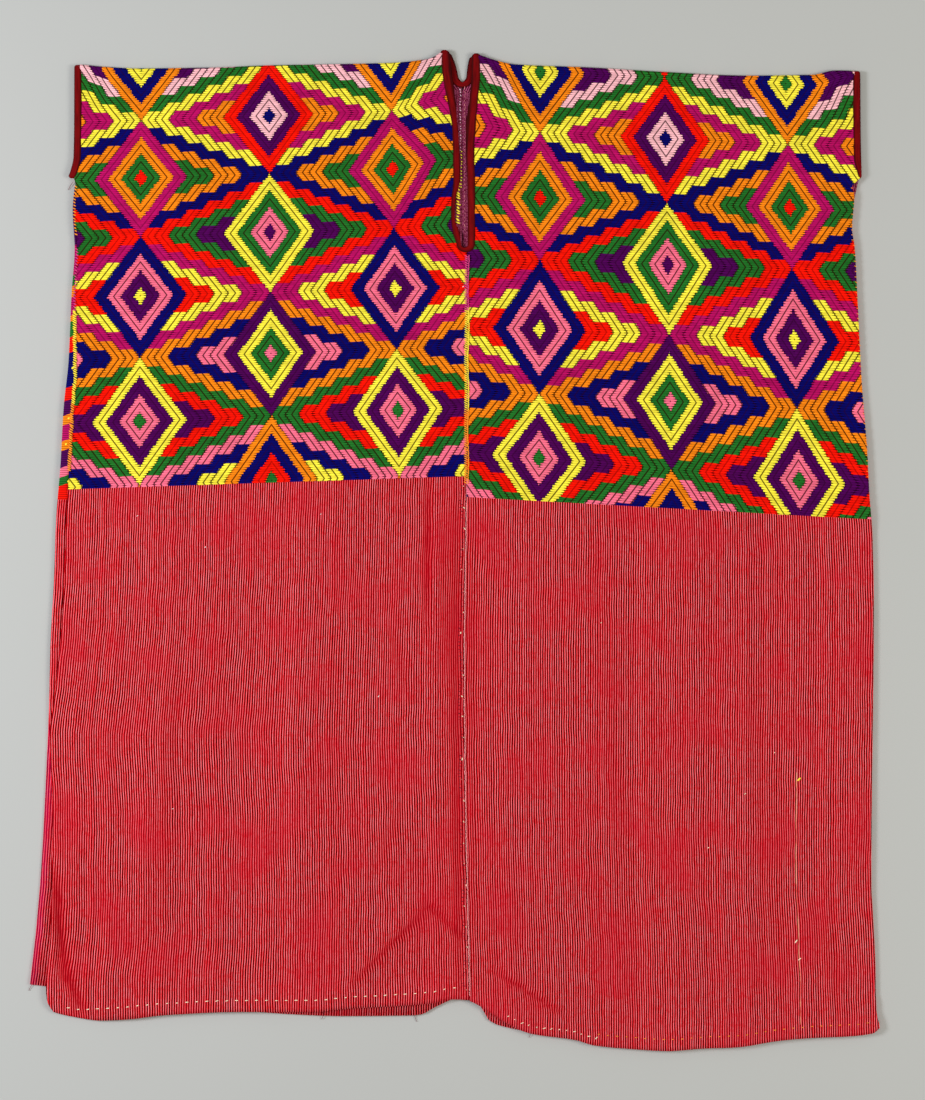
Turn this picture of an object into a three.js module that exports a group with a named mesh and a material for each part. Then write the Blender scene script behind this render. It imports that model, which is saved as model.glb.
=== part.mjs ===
// A huipil laid flat, in millimetres: +Y runs to the neck, +X to the viewer's right, +Z up from the surface.
// Two loom panels are each folded over the shoulder, sewn together down the middle and down the sides,
// and left open at the neck slit and the armholes, whose edges are bound with ribbon.
import * as THREE from "three";

// Driving dimensions
const BROCADE_WALL = 1.8; // ground cloth with its supplementary weft
const PLAIN_WALL = 1.2; // ground cloth alone
const HEM_WALL = 2.2; // ground cloth turned up once
const HEM_DEPTH = 14;
const GAP = 0.3; // between two pieces, and between the front and the back layer
const BROCADE_FADE = 5; // half of the strip in which the wall thins at the brocade's end
const SHOULDER_ROUND = 0.9; // how far the folded shoulder stands up
const SHOULDER_REACH = 14; // how far down the cloth that rise fades out
const BINDING_THICKNESS = 2.2;
const BINDING_WIDTH = 5.7;
const FRONT_BINDING_Z = 2.5; // underside of a binding on the front layer
const OVERHANG_START = 11; // past the back hem, where the front hem starts to drop
const OVERHANG_REACH = 14; // over which it comes down to the surface
const BACK_SEAM_X = 6.2;
const COLUMNS = 18;
const FRONT_STEP = 21; // between rows of the grid
const BACK_STEP = 62;
const FOLD_STEPS = 6;
const SLIT_TURN_STEPS = 8;
const EAR_TOP = { left: 409.3, right: 406.6 }; // where the neck ribbon turns over each shoulder

// One row for each point of the shoulder fold, from the armhole to the neck
const LEFT_SHOULDER = table(["x", "y"], [
  [-310, 397.8], [-285, 395.3], [-259.5, 394.1], [-197, 394.9], [-152, 396.6],
  [-109.5, 397.4], [-53.7, 398.6], [-21.7, 401.9], [-7, 409.3],
]);
const RIGHT_SHOULDER = table(["x", "y"], [
  [17.2, 406.5], [20.9, 405.2], [37.3, 399.8], [49.6, 397.4], [111, 394.9],
  [172, 391.2], [242, 388.2], [293, 388.9], [312, 392.5], [330, 392],
]);

// Where the brocade ends across each panel
const LEFT_BROCADE_END = table(["x", "y"], [[-320, 49.2], [12, 60.2]]);
const RIGHT_BROCADE_END = table(["x", "y"], [[8, 43.2], [345, 24.4]]);

// Hems, one row for each point from left to right
const LEFT_FRONT_HEM = table(["x", "y"], [
  [-334, -372], [-328, -379], [-309.2, -385.7], [-284, -384.8], [-236, -380.7], [-175.9, -378.3],
  [-116, -378.3], [-84.9, -375.5], [-44.7, -373.4], [-20, -371.5], [-0.4, -368], [12, -368.6],
]);
const LEFT_BACK_HEM = table(["x", "y"], [
  [-348, -356.2], [-334.3, -357.7], [-250, -369], [-135, -380.5], [-90, -382.1],
  [-28.3, -381.4], [-19.7, -376.7], [7, -364],
]);
const RIGHT_FRONT_HEM = table(["x", "y"], [
  [12, -369], [20.9, -373.4], [29.9, -379.1], [41.4, -386.5], [53.7, -393.1], [64.4, -396.4],
  [99.6, -401.3], [115, -405.7], [145.4, -408.6], [175.8, -410.3], [203.7, -408.3],
  [231.6, -407.3], [266.9, -402], [292.3, -399.7], [325.5, -398.2], [343.2, -395.9], [348, -391.3],
]);
const RIGHT_BACK_HEM = table(["x", "y"], [
  [7, -364], [20, -372], [29.9, -387], [43.9, -391.6], [64.2, -395.4],
  [115, -403], [176, -407.5], [232, -404.5], [292, -397], [348, -389],
]);

// Side edges below the armholes, one row for each height: the front layer's edge and the back layer's
const LEFT_EDGE = table(["y", "front", "back"], [
  [297.5, -310.4, -310.4], [277.6, -312, -312], [246.5, -310.4, -310.4], [209.6, -312.9, -312.9],
  [155.5, -315.3, -315.3], [116.9, -319.3, -319.3], [64.5, -322.3, -322.3], [27.7, -325.5, -325.5],
  [-24.5, -327.4, -327.4], [-85.6, -330.5, -330.5], [-153.7, -331.5, -333.2],
  [-218.9, -328.9, -336.2], [-257.8, -329.3, -338.3], [-312.8, -330.4, -342.9],
  [-336.5, -332.8, -345.4], [-356.2, -334.3, -347.7], [-367.7, -333.6, -348], [-379, -328, -348],
  [-386, -309, -348],
]);
const RIGHT_EDGE = table(["y", "front", "back"], [
  [297.5, 325.3, 324.2], [289.4, 327.3, 326], [263.2, 325.5, 324.5], [247.6, 327.6, 326.4],
  [204.7, 330, 328.8], [139.1, 333.3, 332], [83.1, 337.7, 336.4], [44.8, 339.7, 338.4],
  [7.9, 342.4, 341], [-46.2, 343.4, 342], [-123.3, 342.8, 341.4], [-197, 341.8, 340.4],
  [-270.9, 341.3, 340], [-299, 342.7, 341.4], [-336.5, 344.6, 343.2], [-379.2, 345.5, 344],
  [-391.5, 348.1, 346.5], [-400, 346, 345],
]);

// The bound neck slit in the front, from the shoulder down: the cloth's edges and the gap between the ribbons
const FRONT_SLIT = table(["y", "left", "right", "gapLeft", "gapRight"], [
  [410, -11.1, 20.6, -4.2, 14.4], [390, -9.6, 20.6, -1.9, 14], [368, -5.4, 19, 0.8, 12.2],
  [347, -1.8, 17.1, 2.5, 9.4], [328, -0.8, 16, 4, 9.8], [301, -0.7, 16.5, 4.3, 10.3],
  [287, -2.1, 16.6, 1, 10.5], [270, -2.4, 16.6, 0.4, 11.2], [259.6, -1, 16.6, 4.3, 11],
  [250, 1.9, 16.4, 5.5, 10.7],
]);
const FRONT_SLIT_END = { top: 246.2, closed: 239.2, y: 250, outer: 6.4, inner: 2.8 };

// The short slit in the back, down from the shoulder
const BACK_SLIT = table(["y", "left", "right", "gapLeft", "gapRight"], [
  [410, -10.9, 20.2, -4.4, 14.6], [397.4, -6, 17.6, 0.9, 10.9], [386.7, -2.6, 15.4, 3.4, 9.7],
]);
const BACK_SLIT_END = { top: 381.6, closed: 373.4, y: 386.7, outer: 8, inner: 3.8 };

// Centre front seam
const FRONT_SEAM = table(["y", "x"], [[241, 10.3], [60, 9.8], [-90, 8], [-180, 8.6], [-369, 12.4]]);

// Armhole ribbons, from the shoulder down: outer edge of each
const LEFT_ARMHOLE = table(["y", "x"], [[397, -311.2], [350, -311.3], [322, -311.8], [304, -316]]);
const RIGHT_ARMHOLE = table(["y", "x"], [[392, 332.2], [340, 332.6], [304, 333.4]]);
const UNDERARM = { cloth: 303.6, closed: 297.8, binding: 304.2, leg: 308.2 };

// Large soft creases of the front layer, each a ridge between two points
const CREASES = table(["x0", "y0", "x1", "y1", "width", "height"], [
  [-10, 44, -8, -100, 13, 3.6],
  [-4, -96, -26, -215, 15, 2.2],
  [-22, -285, -92, -362, 14, 3.2],
  [10, -262, 2, -352, 14, 2.4],
  [38, -340, 84, -380, 15, 2.6],
  [-322, -230, -326, -340, 14, 2.4],
  [-226, -60, -246, -330, 24, 1.6],
  [-110, 20, -128, -250, 22, 1.4],
  [118, -20, 140, -300, 24, 1.5],
  [240, -80, 262, -340, 22, 1.7],
  [322, -40, 326, -300, 16, 1.6],
  [-212, 330, -206, 120, 26, 1.1],
  [196, 320, 206, 90, 26, 1.2],
  [96, 300, 88, 120, 22, 0.9],
  [-96, 290, -90, 130, 22, 0.9],
]);

function table(names, rows) {
  return rows.map((row) => Object.fromEntries(names.map((name, i) => [name, row[i]])));
}

// A smooth value of one column at a place of another, through the table's rows
function at(rows, key, column, place) {
  const up = rows[0][key] < rows[rows.length - 1][key] ? rows : [...rows].reverse();
  const p = THREE.MathUtils.clamp(place, up[0][key], up[up.length - 1][key]);
  const i = Math.max(0, Math.min(up.length - 2, up.findLastIndex((row) => row[key] <= p)));
  const span = up[i + 1][key] - up[i][key];
  const t = (p - up[i][key]) / span;
  const from = slope(up, key, column, i) * span;
  const to = slope(up, key, column, i + 1) * span;
  const [a, b] = [up[i][column], up[i + 1][column]];
  return a * (1 - t) ** 2 * (1 + 2 * t) + b * t * t * (3 - 2 * t) +
    from * t * (1 - t) ** 2 - to * t * t * (1 - t);
}

// The curve's slope at a row: none at a turning point, so that it never overshoots
function slope(rows, key, column, i) {
  const rise = (j) => (rows[j + 1][column] - rows[j][column]) / (rows[j + 1][key] - rows[j][key]);
  if (i === 0) return rise(0);
  if (i === rows.length - 1) return rise(i - 1);
  const [before, after] = [rise(i - 1), rise(i)];
  return before * after <= 0 ? 0 : (2 * before * after) / (before + after);
}

// Places between marks, evenly spaced and no further apart than step
function between(marks, step) {
  const places = [marks[0]];
  for (let i = 1; i < marks.length; i++) {
    const count = Math.max(1, Math.round((marks[i] - marks[i - 1]) / step));
    for (let k = 1; k <= count; k++) places.push(marks[i - 1] + ((marks[i] - marks[i - 1]) * k) / count);
  }
  return places;
}

const fade = (value, from, to) => THREE.MathUtils.smoothstep(value, from, to);

// What differs between the two panels; side is -1 for the left and 1 for the right
const LEFT = {
  side: -1, slit: "left", shoulder: LEFT_SHOULDER, brocadeEnd: LEFT_BROCADE_END, edge: LEFT_EDGE,
  armhole: LEFT_ARMHOLE,
  hem: { front: LEFT_FRONT_HEM, back: LEFT_BACK_HEM },
};
const RIGHT = {
  side: 1, slit: "right", shoulder: RIGHT_SHOULDER, brocadeEnd: RIGHT_BROCADE_END, edge: RIGHT_EDGE,
  armhole: RIGHT_ARMHOLE,
  hem: { front: RIGHT_FRONT_HEM, back: RIGHT_BACK_HEM },
};

// The panel's edge along the middle of the garment at a height
function innerEdge(panel, layer, y) {
  const slit = layer === "front" ? FRONT_SLIT : BACK_SLIT;
  const end = layer === "front" ? FRONT_SLIT_END : BACK_SLIT_END;
  const seam = layer === "front" ? at(FRONT_SEAM, "y", "x", y) : BACK_SEAM_X;
  const sewn = seam + (panel.side * GAP) / 2;
  const bound = at(slit, "y", panel.slit, Math.max(y, end.y)) + panel.side * GAP;
  return THREE.MathUtils.lerp(sewn, bound, THREE.MathUtils.clamp((y - end.closed) / (end.top - end.closed), 0, 1));
}

// The panel's edge along the side: sewn below the underarm, bound with ribbon above it
function outerEdge(panel, layer, y) {
  const bound = at(panel.armhole, "y", "x", Math.max(y, UNDERARM.cloth)) - panel.side * (BINDING_WIDTH + GAP);
  const above = THREE.MathUtils.clamp((y - UNDERARM.closed) / (UNDERARM.cloth - UNDERARM.closed), 0, 1);
  return THREE.MathUtils.lerp(at(panel.edge, "y", layer, y), bound, above);
}

function acrossPanel(panel, layer, y, u) {
  return THREE.MathUtils.lerp(innerEdge(panel, layer, y), outerEdge(panel, layer, y), u);
}

// Height on the page of a row that lies a given way down the cloth: 0 the fold, 1 the brocade's end, 2 the hem
function rowHeight(panel, layer, u, down) {
  const fold = at(panel.shoulder, "x", "y", acrossPanel(panel, layer, panel.shoulder[0].y, u));
  const end = at(panel.brocadeEnd, "x", "y", acrossPanel(panel, layer, 50, u));
  const hem = at(panel.hem[layer], "x", "y", acrossPanel(panel, layer, panel.side < 0 ? -378 : -390, u));
  return down <= 1 ? THREE.MathUtils.lerp(fold, end, down) : THREE.MathUtils.lerp(end, hem, down - 1);
}

const panelOf = (x) => (x < 9 ? LEFT : RIGHT);

function wallAt(x, y, layer) {
  const panel = panelOf(x);
  const end = at(panel.brocadeEnd, "x", "y", x);
  const hem = at(panel.hem[layer], "x", "y", x);
  const cloth = THREE.MathUtils.lerp(PLAIN_WALL, BROCADE_WALL, fade(y, end - BROCADE_FADE, end + BROCADE_FADE));
  return THREE.MathUtils.lerp(HEM_WALL, cloth, fade(y, hem + HEM_DEPTH - 3, hem + HEM_DEPTH + 3));
}

// How far the front layer stands off whatever lies under it
function lift(x, y) {
  let height = 0.35 + 0.25 * Math.sin(x / 34 + 0.8) * Math.sin(y / 71 - 0.4);
  for (const c of CREASES) {
    const [dx, dy] = [c.x1 - c.x0, c.y1 - c.y0];
    const along = ((x - c.x0) * dx + (y - c.y0) * dy) / (dx * dx + dy * dy);
    const aside = Math.hypot(x - c.x0 - dx * along, y - c.y0 - dy * along) / c.width;
    height += c.height * Math.exp(-aside * aside) * fade(along, -0.12, 0.28) * (1 - fade(along, 0.72, 1.12));
  }
  return height;
}

// Underside of the front layer: it lies on the back layer, and past the back hem it comes down
function frontUnderside(x, y, depth) {
  const hem = at(panelOf(x).hem.back, "x", "y", x);
  const under = Math.max(wallAt(x, y, "back"), wallAt(x, y + 8, "back"), wallAt(x, y - 8, "back"));
  const over = fade(y, hem - OVERHANG_START - OVERHANG_REACH, hem - OVERHANG_START);
  const rise = SHOULDER_ROUND * Math.exp(-depth / SHOULDER_REACH);
  const flat = fade(depth, 0, 45);
  return GAP + under * over + rise + lift(x, y) * flat;
}

// One column of a panel, as the outer and the inner face of the folded wall, from the back hem to the front hem
function panelColumn(panel, u) {
  const outer = [];
  const inner = [];
  const backDown = downMarks(panel, "back", BACK_STEP).reverse();
  for (const down of backDown) {
    const y = rowHeight(panel, "back", u, down);
    const x = acrossPanel(panel, "back", y, u);
    if (down === 0) continue;
    outer.push([x, y, 0]);
    inner.push([x, y, wallAt(x, y, "back")]);
  }
  const apex = rowHeight(panel, "front", u, 0);
  const x = acrossPanel(panel, "front", apex, u);
  const underside = frontUnderside(x, apex, 0);
  const radius = (underside + BROCADE_WALL) / 2;
  const inside = radius - BROCADE_WALL;
  for (let i = 0; i <= FOLD_STEPS; i++) {
    const turn = -Math.PI / 2 + (Math.PI * i) / FOLD_STEPS;
    const place = (r) => [x, apex - radius + r * Math.cos(turn), radius + r * Math.sin(turn)];
    outer.push(place(radius));
    inner.push(place(inside));
  }
  for (const down of downMarks(panel, "front", FRONT_STEP)) {
    if (down === 0) continue;
    const y = rowHeight(panel, "front", u, down);
    const px = acrossPanel(panel, "front", y, u);
    const z = frontUnderside(px, y, apex - y);
    outer.push([px, y, z + wallAt(px, y, "front")]);
    inner.push([px, y, z]);
  }
  return { outer, inner };
}

// Rows of the grid, with one on each side of every step in the cloth
function downMarks(panel, layer, step) {
  const length = (u, from, to) => rowHeight(panel, layer, u, from) - rowHeight(panel, layer, u, to);
  const end = layer === "front" ? FRONT_SLIT_END : BACK_SLIT_END;
  const slitAt = (y) => (rowHeight(panel, layer, 0, 0) - y) / length(0, 0, 1);
  const armAt = (y) => (rowHeight(panel, layer, 1, 0) - y) / length(1, 0, 1);
  const top = length(0.5, 0, 1);
  const low = length(0.5, 1, 2);
  const arm = [UNDERARM.leg, UNDERARM.cloth, UNDERARM.closed].map(armAt);
  const upper = [0, 9 / top, slitAt(end.top), slitAt(end.closed), ...arm, 1 - BROCADE_FADE / top];
  upper.sort((a, b) => a - b);
  const lower = [1 + BROCADE_FADE / low, 2 - (HEM_DEPTH + 3) / low, 2 - (HEM_DEPTH - 3) / low, 2];
  return between([...upper, ...lower], step / top);
}

// A closed solid between the two faces of neighbouring columns
function wallBetween(columns) {
  const rows = columns[0].outer.length;
  const points = columns.flatMap((column) => [...column.outer, ...column.inner]);
  const outer = (i, j) => i * 2 * rows + j;
  const inner = (i, j) => i * 2 * rows + rows + j;
  const faces = [];
  const quad = (a, b, c, d) => faces.push(a, b, c, a, c, d);
  const last = columns.length - 1;
  for (let i = 0; i < last; i++) {
    for (let j = 0; j < rows - 1; j++) {
      quad(outer(i, j), outer(i + 1, j), outer(i + 1, j + 1), outer(i, j + 1));
      quad(inner(i, j), inner(i, j + 1), inner(i + 1, j + 1), inner(i + 1, j));
    }
    quad(outer(i, 0), inner(i, 0), inner(i + 1, 0), outer(i + 1, 0));
    quad(outer(i, rows - 1), outer(i + 1, rows - 1), inner(i + 1, rows - 1), inner(i, rows - 1));
  }
  for (let j = 0; j < rows - 1; j++) {
    quad(outer(0, j), outer(0, j + 1), inner(0, j + 1), inner(0, j));
    quad(outer(last, j), inner(last, j), inner(last, j + 1), outer(last, j + 1));
  }
  return solid(points, faces);
}

function solid(points, faces) {
  const geometry = new THREE.BufferGeometry();
  geometry.setAttribute("position", new THREE.Float32BufferAttribute(points.flat(), 3));
  geometry.setIndex(signedVolume(points, faces) < 0 ? faces.reverse() : faces);
  geometry.computeVertexNormals();
  return geometry;
}

function signedVolume(points, faces) {
  let volume = 0;
  for (let i = 0; i < faces.length; i += 3) {
    const [a, b, c] = [0, 1, 2].map((k) => new THREE.Vector3(...points[faces[i + k]]));
    volume += a.dot(b.cross(c)) / 6;
  }
  return volume;
}

function panelGeometry(panel) {
  const columns = Array.from({ length: COLUMNS + 1 }, (_, i) => panelColumn(panel, i / COLUMNS));
  return wallBetween(columns);
}

// A ribbon folded over an edge, seen in section: across its width, and up and down from its middle
const RIBBON_SECTION = table(["across", "up"], [
  [0.14, 0.5], [0.86, 0.5], [1, 0.2], [1, -0.2], [0.86, -0.5], [0.14, -0.5], [0, -0.2], [0, 0.2],
]);

// A closed loop of ribbon through stations, each with its two edges and the way its face looks
function ribbonLoop(stations) {
  const count = RIBBON_SECTION.length;
  const points = stations.flatMap(({ near, far, face }) =>
    RIBBON_SECTION.map(({ across, up }) => new THREE.Vector3()
      .lerpVectors(near, far, across).addScaledVector(face, up * BINDING_THICKNESS).toArray()));
  const faces = [];
  stations.forEach((_, i) => {
    const next = (i + 1) % stations.length;
    for (let k = 0; k < count; k++) {
      const l = (k + 1) % count;
      const [a, b, c, d] = [i * count + k, i * count + l, next * count + l, next * count + k];
      faces.push(a, b, c, a, c, d);
    }
  });
  return solid(points, faces);
}

// Height of a ribbon's middle on each layer
const middleOf = (layer) => BINDING_THICKNESS / 2 + (layer === "front" ? FRONT_BINDING_Z : 0);
const UP = new THREE.Vector3(0, 0, 1);
const DOWN = new THREE.Vector3(0, 0, -1);

function station(layer, y, nearX, farX, farY = y) {
  const z = middleOf(layer);
  return {
    near: new THREE.Vector3(nearX, y, z), far: new THREE.Vector3(farX, farY, z),
    face: layer === "front" ? UP : DOWN,
  };
}

// The ribbon's turn over a folded edge, from the front to the back; way is 1 at the shoulder, -1 underarm
function turnOver(apex, nearX, farX, way) {
  const radius = (middleOf("front") - middleOf("back")) / 2;
  const centre = apex - way * (radius + BINDING_THICKNESS / 2);
  const z = middleOf("back") + radius;
  return Array.from({ length: FOLD_STEPS - 1 }, (_, i) => {
    const turn = (Math.PI * (i + 1)) / FOLD_STEPS;
    const face = new THREE.Vector3(0, way * Math.sin(turn), Math.cos(turn));
    const place = (x) => new THREE.Vector3(x, centre, z).addScaledVector(face, radius);
    return { near: place(nearX), far: place(farX), face };
  });
}

// Heights of a panel's own rows along one of its edges, from just under the fold down to a place
function edgeRows(panel, layer, u, bottom) {
  const rows = downMarks(panel, layer, layer === "front" ? FRONT_STEP : BACK_STEP);
  const heights = rows.slice(1).map((down) => rowHeight(panel, layer, u, down));
  return [...heights.filter((y) => y > bottom + 2), bottom];
}

// One side of a slit's ribbon on one layer, along the panel's own rows
function slitLeg(panel, layer) {
  const [slit, end] = layer === "front" ? [FRONT_SLIT, FRONT_SLIT_END] : [BACK_SLIT, BACK_SLIT_END];
  const gap = panel.side < 0 ? "gapLeft" : "gapRight";
  return edgeRows(panel, layer, 0, end.y).map((y) =>
    station(layer, y, at(slit, "y", panel.slit, y), at(slit, "y", gap, y)));
}

// The ribbon's turn round the bottom of a slit, from the left side to the right
function slitBottom(slit, end, layer, count) {
  const row = (name) => at(slit, "y", name, end.y);
  const outer = (row("right") - row("left")) / 2;
  const inner = (row("gapRight") - row("gapLeft")) / 2;
  const outerX = (row("right") + row("left")) / 2;
  const innerX = (row("gapRight") + row("gapLeft")) / 2;
  return Array.from({ length: count - 1 }, (_, i) => {
    const turn = Math.PI + (Math.PI * (i + 1)) / count;
    return station(layer, end.y + end.outer * Math.sin(turn), outerX + outer * Math.cos(turn),
      innerX + inner * Math.cos(turn), end.y + end.inner * Math.sin(turn));
  });
}

function neckBinding() {
  const fold = (panel, apex) => turnOver(apex, at(FRONT_SLIT, "y", panel.slit, apex),
    at(FRONT_SLIT, "y", panel.side < 0 ? "gapLeft" : "gapRight", apex), 1);
  return ribbonLoop([
    ...slitLeg(LEFT, "front"),
    ...slitBottom(FRONT_SLIT, FRONT_SLIT_END, "front", SLIT_TURN_STEPS),
    ...slitLeg(RIGHT, "front").reverse(),
    ...fold(RIGHT, EAR_TOP.right),
    ...slitLeg(RIGHT, "back"),
    ...slitBottom(BACK_SLIT, BACK_SLIT_END, "back", SLIT_TURN_STEPS).reverse(),
    ...slitLeg(LEFT, "back").reverse(),
    ...fold(LEFT, EAR_TOP.left).reverse(),
  ]);
}

function armholeBinding(panel) {
  const [top, bottom] = [panel.armhole[0].y, UNDERARM.binding];
  const outerAt = (y) => at(panel.armhole, "y", "x", y);
  const innerAt = (y) => outerAt(y) - panel.side * BINDING_WIDTH;
  const leg = (layer) => edgeRows(panel, layer, 1, UNDERARM.leg).map((y) =>
    station(layer, y, innerAt(y), outerAt(y)));
  const turn = (y, way) => turnOver(y, innerAt(y), outerAt(y), way);
  return ribbonLoop([...turn(top, 1).reverse(), ...leg("front"), ...turn(bottom, -1), ...leg("back").reverse()]);
}

const CLOTH = { color: "#c8142d", roughness: 0.85, metalness: 0 };
const VELVET = { color: "#8c0a10", roughness: 0.7, metalness: 0 };

function piece(name, geometry, finish) {
  const mesh = new THREE.Mesh(geometry, new THREE.MeshStandardMaterial({ ...finish, side: THREE.FrontSide }));
  mesh.name = name;
  return mesh;
}

const huipil = new THREE.Group();
huipil.add(
  piece("left_panel", panelGeometry(LEFT), CLOTH),
  piece("right_panel", panelGeometry(RIGHT), CLOTH),
  piece("neck_binding", neckBinding(), VELVET),
  piece("left_armhole_binding", armholeBinding(LEFT), VELVET),
  piece("right_armhole_binding", armholeBinding(RIGHT), VELVET),
);
export default huipil;
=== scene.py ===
# %% [markdown]
# # A huipil laid flat
#
# A huipil is a blouse of whole loom panels. Two narrow panels are each folded over a shoulder, sewn together
# down the middle and down the sides, and bound with ribbon at the neck slit and the armholes. The upper half
# of each panel is covered by brocade, extra coloured weft that the weaver lays in by hand between two rows of
# the ground. The lower half is the plain ground, which shows the fine stripes of its warp.
#
# The garment lies on a pale table and is seen from straight above. This notebook builds it in metres, and
# writes its sizes in millimetres, because a weaver's rule reads so.

import bpy
import numpy as np
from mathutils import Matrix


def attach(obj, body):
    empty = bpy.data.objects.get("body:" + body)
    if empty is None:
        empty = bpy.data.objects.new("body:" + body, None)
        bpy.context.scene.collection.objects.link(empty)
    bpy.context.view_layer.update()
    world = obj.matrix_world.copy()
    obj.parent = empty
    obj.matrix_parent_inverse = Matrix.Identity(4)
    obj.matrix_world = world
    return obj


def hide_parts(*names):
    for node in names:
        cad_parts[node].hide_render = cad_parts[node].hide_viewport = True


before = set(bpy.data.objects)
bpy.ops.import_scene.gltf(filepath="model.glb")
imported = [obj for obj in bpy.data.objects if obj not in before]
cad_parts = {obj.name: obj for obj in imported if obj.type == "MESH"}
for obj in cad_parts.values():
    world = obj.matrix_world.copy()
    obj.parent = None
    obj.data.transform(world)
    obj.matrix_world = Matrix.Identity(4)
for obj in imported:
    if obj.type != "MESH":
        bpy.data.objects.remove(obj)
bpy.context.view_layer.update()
MM = 0.001

# %% [markdown]
# ## Reading the pattern pieces
#
# The cut is given by a few measured places for each edge. A smooth line goes through them. It could be a
# Bezier curve, but its handles would be one more thing to get right, so a monotone cubic is used: it passes
# through each place, and never swings past it. The same lines shaped the solids.

# %% Tables and smooth lines through them
def table(names, rows):
    """Named columns, each an array."""
    return dict(zip(names.split(), np.array(rows, float).T))


def through(rows, key, wanted, place):
    """A smooth value of one column at places of another."""
    order = np.argsort(rows[key])
    x, y = rows[key][order], rows[wanted][order]
    span, rise = np.diff(x), np.diff(y) / np.diff(x)
    slope = np.concatenate([rise[:1], np.zeros(len(rise) - 1), rise[-1:]])
    before, after = rise[:-1], rise[1:]
    turning = before * after <= 0
    total = np.where(turning, 1, before + after)
    slope[1:-1] = np.where(turning, 0, 2 * before * after / total)
    p = np.clip(place, x[0], x[-1])
    i = np.clip(np.searchsorted(x, p, side="right") - 1, 0, len(span) - 1)
    t = (p - x[i]) / span[i]
    ends = y[i] * (1 - t) ** 2 * (1 + 2 * t) + y[i + 1] * t * t * (3 - 2 * t)
    return ends + span[i] * (slope[i] * t * (1 - t) ** 2 - slope[i + 1] * t * t * (1 - t))


def lerp(a, b, t):
    return a + (b - a) * t


def fade(value, start, end):
    """0 before start, 1 after end, and smooth between."""
    t = np.clip((value - start) / (end - start), 0, 1)
    return t * t * (3 - 2 * t)


def bell(distance, width):
    """1 at no distance, falling off softly over the width."""
    return np.exp(-((distance / width) ** 2))


# %% The edges of the two panels
LEFT = {
    "side": -1, "slit": "left", "gap": "gap_left", "ear": 409.3, "hem_y": -378, "corner_y": -356,
    "shoulder": table("x y", [
        (-310, 397.8), (-285, 395.3), (-259.5, 394.1), (-197, 394.9), (-152, 396.6),
        (-109.5, 397.4), (-53.7, 398.6), (-21.7, 401.9), (-7, 409.3),
    ]),
    "brocade_end": table("x y", [(-320, 49.2), (12, 60.2)]),
    "armhole": table("y x", [(397, -311.2), (350, -311.3), (322, -311.8), (304, -316)]),
    "front": table("x y", [
        (-334, -372), (-328, -379), (-309.2, -385.7), (-284, -384.8), (-236, -380.7), (-175.9, -378.3),
        (-116, -378.3), (-84.9, -375.5), (-44.7, -373.4), (-20, -371.5), (-0.4, -368), (12, -368.6),
    ]),
    "back": table("x y", [
        (-348, -356.2), (-334.3, -357.7), (-250, -369), (-135, -380.5), (-90, -382.1),
        (-28.3, -381.4), (-19.7, -376.7), (7, -364),
    ]),
    "edge": table("y front back", [
        (297.5, -310.4, -310.4), (277.6, -312, -312), (246.5, -310.4, -310.4), (209.6, -312.9, -312.9),
        (155.5, -315.3, -315.3), (116.9, -319.3, -319.3), (64.5, -322.3, -322.3), (27.7, -325.5, -325.5),
        (-24.5, -327.4, -327.4), (-85.6, -330.5, -330.5), (-153.7, -331.5, -333.2),
        (-218.9, -328.9, -336.2), (-257.8, -329.3, -338.3), (-312.8, -330.4, -342.9),
        (-336.5, -332.8, -345.4), (-356.2, -334.3, -347.7), (-367.7, -333.6, -348), (-379, -328, -348),
        (-386, -309, -348),
    ]),
}
RIGHT = {
    "side": 1, "slit": "right", "gap": "gap_right", "ear": 406.6, "hem_y": -390, "corner_y": -380,
    "shoulder": table("x y", [
        (17.2, 406.5), (20.9, 405.2), (37.3, 399.8), (49.6, 397.4), (111, 394.9),
        (172, 391.2), (242, 388.2), (293, 388.9), (312, 392.5), (330, 392),
    ]),
    "brocade_end": table("x y", [(8, 43.2), (345, 24.4)]),
    "armhole": table("y x", [(392, 332.2), (340, 332.6), (304, 333.4)]),
    "front": table("x y", [
        (12, -369), (20.9, -373.4), (29.9, -379.1), (41.4, -386.5), (53.7, -393.1), (64.4, -396.4),
        (99.6, -401.3), (115, -405.7), (145.4, -408.6), (175.8, -410.3), (203.7, -408.3),
        (231.6, -407.3), (266.9, -402), (292.3, -399.7), (325.5, -398.2), (343.2, -395.9), (348, -391.3),
    ]),
    "back": table("x y", [
        (7, -364), (20, -372), (29.9, -387), (43.9, -391.6), (64.2, -395.4),
        (115, -403), (176, -407.5), (232, -404.5), (292, -397), (348, -389),
    ]),
    "edge": table("y front back", [
        (297.5, 325.3, 324.2), (289.4, 327.3, 326), (263.2, 325.5, 324.5), (247.6, 327.6, 326.4),
        (204.7, 330, 328.8), (139.1, 333.3, 332), (83.1, 337.7, 336.4), (44.8, 339.7, 338.4),
        (7.9, 342.4, 341), (-46.2, 343.4, 342), (-123.3, 342.8, 341.4), (-197, 341.8, 340.4),
        (-270.9, 341.3, 340), (-299, 342.7, 341.4), (-336.5, 344.6, 343.2), (-379.2, 345.5, 344),
        (-391.5, 348.1, 346.5), (-400, 346, 345),
    ]),
}
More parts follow.
